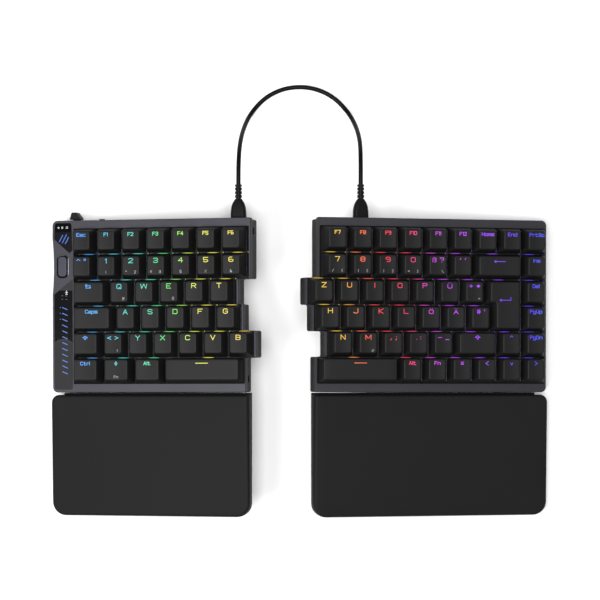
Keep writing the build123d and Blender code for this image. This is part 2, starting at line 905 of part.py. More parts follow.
def enter_key():
    """The tall enter key with its stem, in its own place."""
    high = cap_skirt_height + cap_heights["upper"]
    ceiling = high - cap_roof
    front_inset = cap_front_insets["home"]
    rear_inset = cap_rear_insets["upper"]
    edge = key_gap / 2
    base = enter_face(edge, edge, edge, cap_base_radius)
    top = enter_face(cap_side_inset, front_inset, rear_inset, cap_base_radius)
    cap = loft([(Pos(0, 0, cap_skirt_height) * base).face(), (Pos(0, 0, high) * top).face()])
    inner = enter_face(edge + cap_wall, edge + cap_wall, edge + cap_wall, cap_base_radius / 2)
    inner_top = enter_face(
        cap_side_inset + cap_wall, front_inset + cap_wall, rear_inset + cap_wall, cap_base_radius / 2)
    sections = [(Pos(0, 0, cap_skirt_height) * inner).face(), (Pos(0, 0, ceiling) * inner_top).face()]
    cap -= loft(sections)
    u, v = enter_centre()
    half_width = (enter_end_share - enter_upper_share) * key_pitch / 2 - cap_side_inset
    dish_u = (enter_end_share + enter_upper_share) * key_pitch / 2
    cap -= Pos(dish_u, v) * dish(half_width, high)
    cap += post(u, v, cap_post_radius, post_bottom, ceiling + cap_roof / 4)
    return [cap, Pos(u, v) * stem_below_post()]


def key_groups(shares):
    """Every group of keys by its node's name. Like caps are made once and set out."""
    made = {}
    groups = {}
    for name, keys in shares.items():
        groups[name] = []
        for row, start, width in keys:
            if (row, width) not in made:
                made[row, width] = keycap(row, width)
            u, v = key_centre(row, start, width)
            groups[name] += [Pos(u, v) * solid for solid in made[row, width]]
    return groups


# Feet, ears and legs, in the base frame of the left half


def ear_pair(hinge, front, rear):
    """Two ears with bores for the leg's pins, and the rib that stops the leg when it stands."""
    pieces = Part()
    pin = leg_pin_radius + leg_pin_clearance
    inner_ends = (front - leg_side_clearance - leg_ear_width, rear + leg_side_clearance)
    for y in inner_ends:
        low = (hinge - leg_ear_radius, y, -leg_hinge_drop)
        ear = box_between(low, (hinge + leg_ear_radius, y + leg_ear_width, 0))
        barrel = Rot(X=90) * Cylinder(leg_ear_radius, leg_ear_width)
        ear += Pos(hinge, y + leg_ear_width / 2, -leg_hinge_drop) * barrel
        bore = Rot(X=90) * Cylinder(pin, leg_ear_width + overrun)
        pieces += ear - Pos(hinge, y + leg_ear_width / 2, -leg_hinge_drop) * bore
    stop = hinge + leg_barrel_radius + leg_stop_clearance
    low = (stop, front, -leg_stop_height)
    return pieces + box_between(low, (stop + leg_stop_width, rear, 0))


def leg_length(hinge, clearance):
    """From the hinge to the desk, square to the underside."""
    height = clearance + hinge * math.sin(math.radians(tent_angle))
    height -= leg_hinge_drop * math.cos(math.radians(tent_angle))
    return height / math.cos(math.radians(tent_angle))


def tent_leg(hinge, front, rear):
    """The fold-out leg: a barrel with a pin at each end, a plate, a rubber tip."""
    middle = (front + rear) / 2
    tip = -leg_hinge_drop - leg_length(hinge, edge_clearance)
    barrel_length = rear - front
    axis = Pos(hinge, middle, -leg_hinge_drop) * Rot(X=90)
    outer = hinge + leg_barrel_radius - leg_thickness
    inner = hinge + leg_barrel_radius
    pad_top = tip + leg_pad_depth
    leg = axis * Cylinder(leg_barrel_radius, barrel_length)
    leg += box_between((outer, front, pad_top), (inner, rear, -leg_hinge_drop))
    leg += axis * Cylinder(leg_pin_radius, barrel_length + 2 * leg_pin_reach)
    pad = box_between((outer, front, tip - leg_pad_width), (outer + leg_pad_width, rear, pad_top))
    return [leg, pad]


def outer_feet(depth, end_inset):
    """Two rubber feet along the outer edge, still square below."""
    feet = []
    for front in (end_inset, depth - end_inset - foot_length):
        low = (foot_inset, front, -foot_width)
        foot = box_between(low, (foot_inset + foot_width, front + foot_length, 0))
        feet.append(fillet(foot.edges().filter_by(Axis.Z), foot_inset / 2))
    return feet


def folded_pads():
    """Round pads near the inner edge, which the half lies on when its leg is folded."""
    u = case_leg_hinge + leg_barrel_radius + leg_stop_width + 2 * pad_radius
    places = (foot_end_inset, case_depth - foot_end_inset)
    return [post(u - pad_radius, v, pad_radius, -pad_height, 0) for v in places]


# Palm rests, in the base frame of the left half


def palm_width(side):
    """Width of a palm rest, from the width of its half at the bottom row."""
    start, end = row_span(side, "bottom")
    outer = control_panel_width if side == "left" else rim
    return end - start + outer + palm_outer_flare + palm_inner_reaches[side]


def palm_outline(side, inset=0.0):
    """A palm rest from above, outer edge at zero: large corners in front, smaller ones behind."""
    width = palm_width(side)
    face = rectangle_between(0, width, -palm_depth, 0)
    corners = face.vertices().sort_by(Axis.Y)
    face = fillet(corners[:2], palm_front_radius)
    rear = face.vertices().sort_by(Axis.Y)[-2:].sort_by(Axis.X)
    face = fillet(rear[0], palm_outer_rear_radius)
    rear = face.vertices().sort_by(Axis.X)[-2:].sort_by(Axis.Y)
    face = fillet(rear[-1], palm_inner_rear_radius)
    return offset(face, -inset, kind=Kind.INTERSECTION) if inset else face


def above_palm():
    """All space over the sloping top of a palm rest."""
    slope = math.degrees(math.atan2(palm_rear_height - palm_front_height, palm_depth))
    reach = palm_width("right") + overrun
    plane = Pos(0, 0, palm_rear_height) * Rot(X=slope)
    return plane * Pos(0, 0, overrun / 2) * Box(2 * reach, 2 * reach, overrun)


def palm_pad(side):
    """The soft skin: a sloping slab with rounded edges, in the left base frame."""
    pad = slab(palm_outline(side), palm_base_height, palm_rear_height) - above_palm()
    top_edges = pad.faces().sort_by(Axis.Z)[-1].edges()
    return fillet(top_edges, palm_edge_round)


def palm_magnet_places(side):
    """Centres of the two magnets along the rear edge, across from the plate's tabs."""
    start, end = row_span(side, "bottom")
    outer = control_panel_width if side == "left" else rim
    middle = (end - start) / 2 + outer + palm_outer_flare
    return middle - magnet_spread / 2, middle + magnet_spread / 2


def palm_base(side):
    """The stiff tray of a palm rest, with a ledge that reaches across the gap to the case."""
    base = slab(palm_outline(side, palm_base_step), 0, palm_base_height)
    nose = palm_gap - magnet_seat_gap
    inner = palm_width(side) - palm_base_step
    low = (palm_ledge_inset, -palm_outer_rear_radius, 0)
    base += box_between(low, (inner, nose, palm_base_height))
    for x in palm_magnet_places(side):
        half = magnet_width / 2
        rear = nose - magnet_wall
        low = (x - half, rear - magnet_depth, 0)
        base -= box_between(low, (x + half, rear, magnet_height))
    front = palm_leg_inset - palm_depth
    rear = -palm_leg_inset
    return base + ear_pair(palm_leg_hinge, front, rear)


def palm_magnets(side):
    """The magnets in the noses of a palm rest's base."""
    rear = palm_gap - magnet_seat_gap - magnet_wall
    pieces = []
    for x in palm_magnet_places(side):
        half = magnet_width / 2
        pieces.append(box_between((x - half, rear - magnet_depth, 0), (x + half, rear, magnet_height)))
    return pieces


def palm_feet():
    """Rubber feet of a palm rest, moved in front of the case's own."""
    return [Pos(0, -palm_depth) * foot for foot in outer_feet(palm_depth, foot_end_inset)]


# Plugs and cable


def link_plug(side):
    """A plug in its socket: tapered overmould, ribbed relief, and its metal shell."""
    place = Pos(socket_u(side), case_rear, socket_w) * Rot(X=-90)
    sections = []
    for distance, width, height in overmould_sections:
        radius = min(overmould_radius, height / 2 - cable_lift)
        sections.append((Pos(0, 0, distance) * RectangleRounded(width, height, radius)).face())
    mould = loft(sections)
    end = overmould_length + relief_length
    mould += post(0, 0, relief_radius, overmould_length - relief_radius, end)
    step = relief_length / relief_rib_count
    for rib in range(relief_rib_count):
        groove = overmould_length + step * rib + relief_groove_width
        half = relief_groove_width / 2
        ring = post(0, 0, relief_radius + overrun, groove - half, groove + half)
        ring -= post(0, 0, relief_radius - relief_groove_depth, groove - step, groove + step)
        mould -= ring
    shell = Box(plug_shell_width, plug_shell_height, plug_shell_reach)
    shell = fillet(shell.edges().filter_by(Axis.Z), plug_shell_height / 2 - socket_shell)
    shell = Pos(0, 0, -plug_shell_reach / 2) * shell
    return [place * mould, place * shell]


def relief_end(side):
    """The point in a half's key frame where the cable leaves its relief."""
    return Pos(socket_u(side), case_rear + overmould_length + relief_length, socket_w)


def cable_points(ends):
    """The whole route, from the left relief's end to the right one's."""
    rest = cable_radius + cable_lift
    points = {}
    for side, route, inward in (("left", left_cable_route, 1), ("right", right_cable_route, -1)):
        x, y, z = ends[side]
        points[side] = [(x, y, z)]
        for across, back, share in route:
            points[side].append((x + inward * across, y + back, rest + share * (z - rest)))
    return points["left"] + points["right"][::-1]


def run_radii(points):
    """The largest arc that each corner of a route allows, from its shorter run and its turn."""
    vectors = [Vector(*p) for p in points]
    radii = []
    for before, corner, after in zip(vectors, vectors[1:], vectors[2:]):
        shorter = min((corner - before).length, (after - corner).length)
        turn = math.radians((corner - before).get_angle(after - corner))
        radii.append(cable_bend_share * shorter / math.tan(turn / 2))
    return radii


def link_cable(points):
    """The cable as straight runs joined by tangent arcs, and the length of its path."""
    radii = run_radii(points)
    path = FilletPolyline(*points, radius=radii)
    start = Plane(origin=points[0], z_dir=Vector(*points[1]) - Vector(*points[0]))
    tube = sweep(start * Circle(cable_radius), path=path.wire())
    smallest = min(radii)
    print("cable arcs from %.1f to %.1f, length %.1f" % (smallest, max(radii), path.length))
    expected = math.pi * cable_radius ** 2 * path.length
    print("cable volume %.1f, section times length %.1f" % (tube.volume, expected))
    return tube


# Placing and saving


def base_place(side, out=0.0):
    """From a half's base frame, or one moved out along its underside, to the desk."""
    sign = -1 if side == "left" else 1
    edge = Pos(sign * halves_spread / 2, 0, edge_clearance)
    return edge * Rot(Y=sign * tent_angle) * Pos(sign * out, 0, 0)


def key_place(side):
    """From a half's key frame to the desk."""
    shift = -left_outer_u if side == "left" else -right_outer_u
    lift = case_front_height * math.cos(math.radians(typing_angle))
    return base_place(side) * Pos(shift, 0, lift) * Rot(X=typing_angle)


def handed(side, solids):
    """Pieces of the left base frame, mirrored for the right half."""
    if side == "left":
        return solids
    return [mirror(solid, about=Plane.YZ) for solid in solids]


def on_desk(solids):
    """Cuts feet and tips level with the desk."""
    reach = 2 * halves_spread
    desk = Pos(0, 0, -overrun) * Box(reach, reach, 2 * overrun)
    return [solid - desk for solid in solids]


def half_nodes(side):
    """Every piece of one half with its palm rest, by its node's name, on the desk."""
    keys = key_place(side)
    base = base_place(side)
    palm = base_place(side, palm_outer_flare) * Pos(0, -palm_gap, 0)
    case_leg = (case_leg_hinge, case_leg_front, case_depth - case_leg_rear_inset)
    palm_leg = (palm_leg_hinge, palm_leg_inset - palm_depth, -palm_leg_inset)
    ears = handed(side, [ear_pair(*case_leg)])[0]
    tray = keys * bottom_case(side) + base * ears
    feet = handed(side, outer_feet(case_depth, foot_end_inset) + folded_pads())
    palm_bottom = handed(side, [palm_base(side)])
    palm_rubber = on_desk([palm * foot for foot in handed(side, palm_feet())])
    nodes = {
        "bottom_case": [tray],
        "top_frame": [keys * top_frame(side)],
        "switch_plate": [keys * switch_plate(side)],
        "circuit_board": [keys * circuit_board(side)],
        "damper": [keys * damper(side)],
        "switches": [keys * solid for solid in switches(side)],
        "case_screws": [keys * solid for solid in case_screws(side)],
        "link_socket": [keys * link_socket(side)],
        "rubber_feet": on_desk([base * foot for foot in feet]),
        "tent_leg": on_desk([base * solid for solid in handed(side, tent_leg(*case_leg))]),
        "palm_base": [palm * palm_bottom[0]] + palm_rubber,
        "palm_pad": [palm * solid for solid in handed(side, [palm_pad(side)])],
        "palm_magnets": [palm * solid for solid in handed(side, palm_magnets(side))],
        "palm_leg": on_desk([palm * solid for solid in handed(side, tent_leg(*palm_leg))]),
    }
    return {side + "_" + name: solids for name, solids in nodes.items()}


def control_nodes():
    """The controls that only the left half has."""
    keys = key_place("left")
    return {
        "left_status_window": [keys * status_window()],
        "left_touch_strip": [keys * touch_strip()],
        "left_function_button": [keys * function_button()],
        "left_rear_lever": [keys * rear_lever()],
        "left_mode_switch": [keys * mode_switch()],
        "left_battery": [keys * battery()],
    }


def key_nodes():
    """Every group of keys of both halves, on the desk."""
    nodes = {}
    for side, shares in (("left", left_key_shares), ("right", right_key_shares)):
        keys = key_place(side)
        for name, solids in key_groups(shares).items():
            nodes[name] = [keys * solid for solid in solids]
    nodes["right_enter_key"] = [key_place("right") * solid for solid in enter_key()]
    return nodes


def centring(nodes):
    """The move that puts the origin at the centre of the footprint."""
    boxes = [solid.bounding_box() for solids in nodes.values() for solid in solids]
    low_x = min(box.min.X for box in boxes)
    high_x = max(box.max.X for box in boxes)
    low_y = min(box.min.Y for box in boxes)
    high_y = max(box.max.Y for box in boxes)
    return Pos(-(low_x + high_x) / 2, -(low_y + high_y) / 2, 0)


def whole_keyboard():
    """All nodes in their final places."""
    nodes = {**half_nodes("left"), **half_nodes("right"), **control_nodes(), **key_nodes()}
    centre = centring(nodes)
    nodes = {name: [centre * solid for solid in solids] for name, solids in nodes.items()}
    ends = {}
    for side in ("left", "right"):
        place = centre * key_place(side)
        nodes[side + "_plug"] = [place * solid for solid in link_plug(side)]
        ends[side] = tuple((place * relief_end(side)).position)
    route = cable_points(ends)
    print("cable route", [tuple(round(c, 2) for c in point) for point in route])
    nodes["link_cable"] = [link_cable(route)]
    return nodes


def save(nodes):
    os.makedirs("parts", exist_ok=True)
    for name, solids in nodes.items():
        pieces = [piece for solid in solids for piece in solid.solids()]
        shape = pieces[0] if len(pieces) == 1 else Compound(children=pieces)
        shape.label = name
        export_step(shape, "parts/" + name + ".step")
    print(len(nodes), "nodes saved")


save(whole_keyboard())
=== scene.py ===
import math

import bpy
import numpy as np
from mathutils import Matrix, Vector


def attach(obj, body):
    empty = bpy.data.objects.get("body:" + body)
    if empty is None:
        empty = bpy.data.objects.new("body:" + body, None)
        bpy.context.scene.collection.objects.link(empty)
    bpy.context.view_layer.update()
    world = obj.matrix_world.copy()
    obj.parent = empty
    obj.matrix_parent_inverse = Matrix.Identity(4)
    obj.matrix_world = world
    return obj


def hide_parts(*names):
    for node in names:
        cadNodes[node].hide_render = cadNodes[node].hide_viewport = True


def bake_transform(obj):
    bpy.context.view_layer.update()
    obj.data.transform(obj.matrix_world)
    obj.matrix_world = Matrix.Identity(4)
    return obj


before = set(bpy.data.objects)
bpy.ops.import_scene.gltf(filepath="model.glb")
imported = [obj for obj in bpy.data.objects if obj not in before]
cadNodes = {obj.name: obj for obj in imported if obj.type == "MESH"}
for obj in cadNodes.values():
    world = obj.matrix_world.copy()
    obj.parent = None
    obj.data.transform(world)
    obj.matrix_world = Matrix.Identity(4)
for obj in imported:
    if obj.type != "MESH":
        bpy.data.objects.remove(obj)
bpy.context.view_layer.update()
print("frame loaded with", len(cadNodes), "nodes")


# Same layout values as the CAD source, in mm and degrees

layout = dict(
    pitch=19.05, gap=0.95, tent=15.5, typing=1.0, frontHeight=14.0, spread=355.8426,
    deskClearance=0.8, yShift=-21.2516, frontBar=6.2, rim=1.6, panelWidth=16.4,
    palmFlare=2.2, palmGap=1.8, palmDepth=88.6,
)
rowNames = ["bottom", "lower", "home", "upper", "number", "function"]
sides = ("left", "right")
# where each row of keys ends, as a share of the pitch
rowEnds = dict(left=dict(bottom=6.875, lower=7.25, home=6.75, upper=6.5, number=7, function=7),
               right=dict.fromkeys(rowNames, 9))
# the enter key reaches over two rows: its step and its stem, as shares of the pitch, and its lower part
enterKey = dict(step=6.75, stem=7.375, foot=("home", 6.75, 1.25))


def turn(axis, degrees):
    # rotation matrix about one axis, right-handed
    c, s = math.cos(math.radians(degrees)), math.sin(math.radians(degrees))
    i, j = {"x": (1, 2), "y": (2, 0), "z": (0, 1)}[axis]
    m = np.eye(3)
    m[i, i] = m[j, j] = c
    m[i, j], m[j, i] = -s, s
    return m


def halfPlace(side, out=0.0, forward=0.0):
    # a half's underside: turned by the tent angle about its outer lower edge
    sign = -1 if side == "left" else 1
    rotation = turn("y", sign * layout["tent"])
    edge = np.array([sign * layout["spread"] / 2, layout["yShift"], layout["deskClearance"]])
    return rotation, edge + rotation @ np.array([sign * out, -forward, 0.0])


def keyPlace(side):
    # a half's key frame: u to the right, v to the rear, w up from the top of the frame
    rotation, origin = halfPlace(side)
    keysWidth = rowEnds["right"]["bottom"] * layout["pitch"]
    shift = layout["panelWidth"] if side == "left" else -(keysWidth + layout["rim"])
    lift = layout["frontHeight"] * math.cos(math.radians(layout["typing"]))
    return rotation @ turn("x", layout["typing"]), origin + rotation @ np.array([shift, 0, lift])


def palmPlace(side):
    return halfPlace(side, layout["palmFlare"], layout["palmGap"])


def toDesk(place, points):
    # millimetres in a half's own frame to metres on the desk
    rotation, origin = place
    return (np.asarray(points, float) @ rotation.T + origin) / 1000


def rowFront(row):
    return layout["frontBar"] + rowNames.index(row) * layout["pitch"]


# Fitted to the places of 80 key edges in the photograph: place in mm, turns in radians about x, y and z,
# the focal length in pixels of a frame 600 wide, the sensor's width in mm, the clipping end in metres

cameraFit = dict(place=(-7.283, -22.091, 2049.6), turns=(0.03385, -0.00376, -0.00059),
                 focalPixels=2760.3, frame=600, sensor=36, clipEnd=50)

cameraData = bpy.data.cameras.new("camera")
camera = bpy.data.objects.new("camera", cameraData)
bpy.context.scene.collection.objects.link(camera)
cameraData.sensor_width = cameraFit["sensor"]
cameraData.lens = cameraFit["focalPixels"] * cameraFit["sensor"] / cameraFit["frame"]
cameraData.clip_end = cameraFit["clipEnd"]
tilt = np.eye(3)
for axis, radians in zip("xyz", cameraFit["turns"]):
    tilt = tilt @ turn(axis, math.degrees(radians))
cameraMatrix = Matrix(tilt.tolist()).to_4x4()
cameraMatrix.translation = Vector(cameraFit["place"]) / 1000
camera.matrix_world = cameraMatrix
bpy.context.scene.camera = camera


def addNode(tree, kind, settings=None, inputs=None, links=None):
    # One shader node with its settings, socket values and incoming links. By number, MapRange has its
    # source at 0, the old range at 1 and 2 and the new one at 3 and 4; Mix has its share at 0, two
    # numbers at 2 and 3 and two colours at 6 and 7; Math has its values at 0, 1 and 2.
    node = tree.nodes.new("ShaderNode" + kind)
    for name, value in (settings or {}).items():
        setattr(node, name, value)
    for name, value in (inputs or {}).items():
        node.inputs[name].default_value = value
    for name, source in (links or {}).items():
        tree.links.new(source, node.inputs[name])
    return node


def colour(hexValue):
    # sRGB hex to linear RGBA
    parts = [int(hexValue[i:i + 2], 16) / 255 for i in (1, 3, 5)]
    return [p / 12.92 if p <= 0.04045 else ((p + 0.055) / 1.055) ** 2.4 for p in parts] + [1.0]


def millimetres(tree, place=None):
    # object coordinates in mm, turned into a half's own frame where a place is given
    source = addNode(tree, "TexCoord").outputs["Object"]
    rotation, origin = place if place is not None else (np.eye(3), np.zeros(3))
    back = rotation.T
    turns = Matrix(back.tolist()).to_euler("XYZ")
    settings = {"Scale": (1000, 1000, 1000), "Rotation": turns, "Location": tuple(-back @ origin)}
    return addNode(tree, "Mapping", inputs=settings, links={"Vector": source}).outputs["Vector"]


def newMaterial(name):
    material = bpy.data.materials.new(name)
    material.use_nodes = True
    tree = material.node_tree
    tree.nodes.clear()
    return material, tree


def grainMaterial(name, look, zones=None, place=None):
    # A surface with two grains: a fine one for bump and gloss, and a broad one for tone.
    # look: light and dark hex, grain, patch and bump in mm, roughness low and high, the rest by socket.
    # zones: a function that gives the colour and roughness sockets from the coordinates.
    material, tree = newMaterial(name)
    position = millimetres(tree, place)
    fine = addNode(tree, "TexNoise", inputs={"Scale": 1 / look["grain"], "Detail": 3.0, "Roughness": 0.6},
                   links={"Vector": position}).outputs[0]
    broad = addNode(tree, "TexNoise", inputs={"Scale": 1 / look.get("patch", 35.0), "Detail": 2.0},
                    links={"Vector": position}).outputs[0]
    tone = addNode(tree, "Math", {"operation": "MULTIPLY_ADD"}, {1: 0.5}, {0: fine, 2: addNode(
        tree, "Math", {"operation": "MULTIPLY"}, {1: 0.5}, {0: broad}).outputs[0]}).outputs[0]
    toneStep = addNode(tree, "MapRange", inputs={1: 0.35, 2: 0.65}, links={0: tone}).outputs[0]
    base = addNode(tree, "Mix", {"data_type": "RGBA"}, {6: colour(look["dark"]), 7: colour(look["light"])},
                   {0: toneStep}).outputs[2]
    rough = addNode(tree, "MapRange", inputs={1: 0.3, 2: 0.7, 3: look["rough"][0], 4: look["rough"][1]},
                    links={0: fine}).outputs[0]
    if zones:
        base, rough = zones(tree, position, base, rough)
    bump = addNode(tree, "Bump", inputs={"Strength": 1.0, "Distance": look["bump"] / 1000},
                   links={"Height": fine}).outputs[0]
    shader = addNode(tree, "BsdfPrincipled", inputs=look.get("sockets", {}),
                     links={"Base Color": base, "Roughness": rough, "Normal": bump})
    addNode(tree, "OutputMaterial", links={"Surface": shader.outputs[0]})
    return material


# Colours of the backlight along the keyboard: x in mm and hex
lightStops = [
    (-176, "#2a6ee0"), (-160, "#2a86e0"), (-147, "#32a0dc"), (-139, "#30b8d0"), (-129, "#38c4bc"),
    (-110, "#3ccaa0"), (-100, "#44d060"), (-92, "#58d848"), (-82, "#a8da3c"), (-74, "#dcdc3c"),
    (-56, "#e4d83a"), (-40, "#e0c038"), (-31, "#e4a832"), (-15, "#ea9a2e"), (20, "#e8c03a"),
    (31, "#e6b634"), (37, "#e88c34"), (43, "#ec6c38"), (52, "#e6483c"), (62, "#e43046"),
    (79, "#e03054"), (97, "#bc3cc8"), (116, "#a83cdc"), (134, "#943ce6"), (152, "#6c34dc"),
    (171, "#4a38d8"), (188, "#326ee6"),
]
lightSpan = (-190.0, 190.0)


def glowMaterial(name, strength):
    # plastic over lamps: it glows in the colour of its place along x
    material, tree = newMaterial(name)
    x = addNode(tree, "SeparateXYZ", links={0: millimetres(tree)}).outputs[0]
    share = addNode(tree, "MapRange", inputs={1: lightSpan[0], 2: lightSpan[1]}, links={0: x}).outputs[0]
    ramp = addNode(tree, "ValToRGB", links={0: share})
    elements = ramp.color_ramp.elements
    while len(elements) < len(lightStops):
        elements.new(0.5)
    for element, (stop, tint) in zip(elements, lightStops):
        element.position = (stop - lightSpan[0]) / (lightSpan[1] - lightSpan[0])
        element.color = colour(tint)
    body = {"Base Color": colour("#0c0c0d"), "Roughness": 0.4, "Emission Strength": strength}
    shader = addNode(tree, "BsdfPrincipled", inputs=body, links={"Emission Color": ramp.outputs[0]})
    addNode(tree, "OutputMaterial", links={"Surface": shader.outputs[0]})
    return material


looks = {
    # PBT, moulded with a fine spark texture: dry, dark, a soft broad highlight
    "texturedPbtKeycap": dict(light="#141415", dark="#101011", grain=0.35, bump=0.02, rough=(0.5, 0.62),
                              sockets={"Specular IOR Level": 0.2}),
    # ABS, moulded with a spark texture: matte near-black
    "texturedAbsCase": dict(light="#0e0e10", dark="#0b0b0d", grain=0.5, bump=0.03, rough=(0.5, 0.65),
                            sockets={"Specular IOR Level": 0.15}),
    # silicone, moulded smooth and matte: soft, even, with hardly any highlight
    "matteSiliconePalm": dict(light="#131314", dark="#101011", grain=0.4, bump=0.01, rough=(0.6, 0.7),
                              patch=60.0, sockets={"Specular IOR Level": 0.14}),
    # natural rubber, moulded: matte black
    "mouldedRubberFoot": dict(light="#1b1b1b", dark="#141414", grain=0.6, bump=0.04, rough=(0.7, 0.85)),
    # PVC, extruded: smooth, a long highlight along the cable
    "extrudedPvcJacket": dict(light="#080808", dark="#050505", grain=0.5, bump=0.008, rough=(0.4, 0.5),
                              sockets={"Specular IOR Level": 0.1}),
    # TPE, moulded over the plug: satin black
    "mouldedTpePlug": dict(light="#0b0b0c", dark="#070708", grain=0.4, bump=0.015, rough=(0.42, 0.55),
                           sockets={"Specular IOR Level": 0.1}),
    # steel, drawn and nickel-plated: bright, faint lines
    "platedSteelShell": dict(light="#c9c8c4", dark="#b7b6b2", grain=0.2, bump=0.004, rough=(0.2, 0.32),
                             sockets={"Metallic": 1.0}),
    # steel, stamped and powder-coated: black, a little orange peel
    "coatedSteelPlate": dict(light="#1c1c1e", dark="#151517", grain=1.2, bump=0.02, rough=(0.45, 0.6)),
    # glass-fibre board under black solder mask: satin
    "maskedCircuitBoard": dict(light="#101512", dark="#0b0f0d", grain=0.8, bump=0.02, rough=(0.3, 0.42)),
    # silicone foam, cut from sheet: open and dull
    "foamSiliconeDamper": dict(light="#3a3a3a", dark="#2b2b2b", grain=0.5, bump=0.1, rough=(0.85, 0.95)),
    # polycarbonate, moulded milky: pale grey with a soft shine
    "milkySwitchHousing": dict(light="#8d8f96", dark="#7d7f86", grain=0.5, bump=0.01, rough=(0.25, 0.35)),
    # steel, cold-headed with black oxide
    "blackOxideScrew": dict(light="#2c2c2e", dark="#1f1f21", grain=0.3, bump=0.01, rough=(0.35, 0.5),
                            sockets={"Metallic": 1.0}),
    # laminated foil, pressed: dull silver with soft creases
    "pressedFoilCell": dict(light="#a9aab0", dark="#94959b", grain=3.0, bump=0.15, rough=(0.35, 0.5),
                            sockets={"Metallic": 0.9}),
    # ABS, moulded and painted satin: a soft cool sheen on the push button
    "satinPaintedButton": dict(light="#2e2e3a", dark="#272733", grain=0.3, bump=0.006, rough=(0.3, 0.38),
                               sockets={"Metallic": 0.5}),
    # ABS, moulded to a high polish: piano black
    "polishedAbsSurround": dict(light="#060607", dark="#040405", grain=0.5, bump=0.001, rough=(0.1, 0.14),
                                sockets={"Specular IOR Level": 0.2}),
    # aluminium, cut with a diamond tool: a bright narrow bevel
    "diamondCutBevel": dict(light="#5a5a61", dark="#4e4e55", grain=0.2, bump=0.003, rough=(0.2, 0.28),
                            sockets={"Metallic": 1.0}),
    # ink, pad-printed in light grey on the front of the keytops
    "paddedGreyInk": dict(light="#9c9c9c", dark="#8a8a8a", grain=0.2, bump=0.002, rough=(0.5, 0.6)),
}
materials = {name: grainMaterial(name, look) for name, look in looks.items()}


# Where a piece changes its finish, or where the frame's sides take their painted shade, in mm of its own
# frame: each step's start and end by socket.
# The front of the touch strip's black field bows by v + bow (u + bowMiddle)^2.
zoneSteps = dict(window={1: 117.9, 2: 118.1}, field={1: 38.0, 2: 39.6}, triangle={1: 75.0, 2: 75.2},
                 coat={1: -1.05, 2: -0.95}, palmFeet={1: -0.07, 2: 0.03}, legTip={1: 4.55, 2: 4.65})
fieldBow = dict(bow=0.05, bowMiddle=8.0)


def rubberBelow(step):
    # rubber under a level step, the look's own finish above it
    def zones(tree, position, base, rough):
        z = addNode(tree, "SeparateXYZ", links={0: position}).outputs[2]
        above = addNode(tree, "MapRange", inputs=zoneSteps[step], links={0: z}).outputs[0]
        roughMix = addNode(tree, "Mix", inputs={2: 0.8}, links={0: above, 3: rough}).outputs[0]
        tone = addNode(tree, "Mix", {"data_type": "RGBA"}, {6: colour("#161616")}, {0: above, 7: base})
        return tone.outputs[2], roughMix
    return zones


def windowZones(tree, position, base, rough):
    # acrylic window: the rear part is glossier than the front part, both near-black
    v = addNode(tree, "SeparateXYZ", links={0: position}).outputs[1]
    rear = addNode(tree, "MapRange", inputs=zoneSteps["window"], links={0: v}).outputs[0]
    roughMix = addNode(tree, "Mix", inputs={2: 0.16, 3: 0.08}, links={0: rear}).outputs[0]
    tone = addNode(tree, "Mix", {"data_type": "RGBA"}, {6: colour("#0b0b0d"), 7: colour("#050506")},
                   {0: rear})
    return tone.outputs[2], roughMix


def stripZones(tree, position, base, rough):
    # touch strip from the rear: a satin grey triangle, a glossy black field, a satin grey field
    axes = addNode(tree, "SeparateXYZ", links={0: position})
    u, v = axes.outputs[0], axes.outputs[1]
    aside = addNode(tree, "Math", inputs={1: fieldBow["bowMiddle"]}, links={0: u}).outputs[0]
    square = addNode(tree, "Math", {"operation": "MULTIPLY"}, links={0: aside, 1: aside}).outputs[0]
    bowed = addNode(tree, "Math", {"operation": "MULTIPLY_ADD"}, {1: fieldBow["bow"]},
                    {0: square, 2: v}).outputs[0]
    field = addNode(tree, "MapRange", inputs=zoneSteps["field"], links={0: bowed}).outputs[0]
    triangle = addNode(tree, "MapRange", inputs=zoneSteps["triangle"], links={0: v}).outputs[0]
    tone = addNode(tree, "Mix", {"data_type": "RGBA"}, {6: colour("#131316"), 7: colour("#060608")},
                   {0: field}).outputs[2]
    tone = addNode(tree, "Mix", {"data_type": "RGBA"}, {7: colour("#1c1c20")},
                   {0: triangle, 6: tone}).outputs[2]
    gloss = addNode(tree, "Mix", inputs={2: 0.52, 3: 0.12}, links={0: field}).outputs[0]
    gloss = addNode(tree, "Mix", inputs={3: 0.5}, links={0: triangle, 2: gloss}).outputs[0]
    return tone, gloss


def frameShadeZones(tree, position, base, rough):
    # painted shade: the frame's metal colour on top, and near-black on the sides below it for the shade
    # they lie in
    w = addNode(tree, "SeparateXYZ", links={0: position}).outputs[2]
    top = addNode(tree, "MapRange", inputs=zoneSteps["coat"], links={0: w}).outputs[0]
    tone = addNode(tree, "Mix", {"data_type": "RGBA"}, {6: colour("#0e0e10")}, {0: top, 7: base})
    return tone.outputs[2], rough


# acrylic, moulded to a high polish: the zones above set its tone and gloss
glossLook = dict(light="#0b0b0c", dark="#070708", grain=0.5, bump=0.0005, rough=(0.1, 0.14),
                 sockets={"Specular IOR Level": 0.22})
# aluminium, bead-blasted and anodised dark: a fine even sparkle, cool grey
frameLook = dict(light="#39393e", dark="#333338", grain=0.3, bump=0.012, rough=(0.46, 0.56),
                 sockets={"Metallic": 0.8})
for label, zones in (("polishedAcrylicWindow", windowZones), ("polishedAcrylicStrip", stripZones)):
    materials[label] = grainMaterial(label, glossLook, zones, keyPlace("left"))
for side in sides:
    # each half's frame material: the metal on top, painted shade on the sides below it
    label = side + "CoatedAluminium"
    materials[label] = grainMaterial(label, frameLook, frameShadeZones, keyPlace(side))
    label = side + "PalmBaseAbs"
    materials[label] = grainMaterial(label, looks["texturedAbsCase"], rubberBelow("palmFeet"),
                                     palmPlace(side))
materials["legAbsRubberTip"] = grainMaterial("legAbsRubberTip", looks["texturedAbsCase"],
                                             rubberBelow("legTip"))
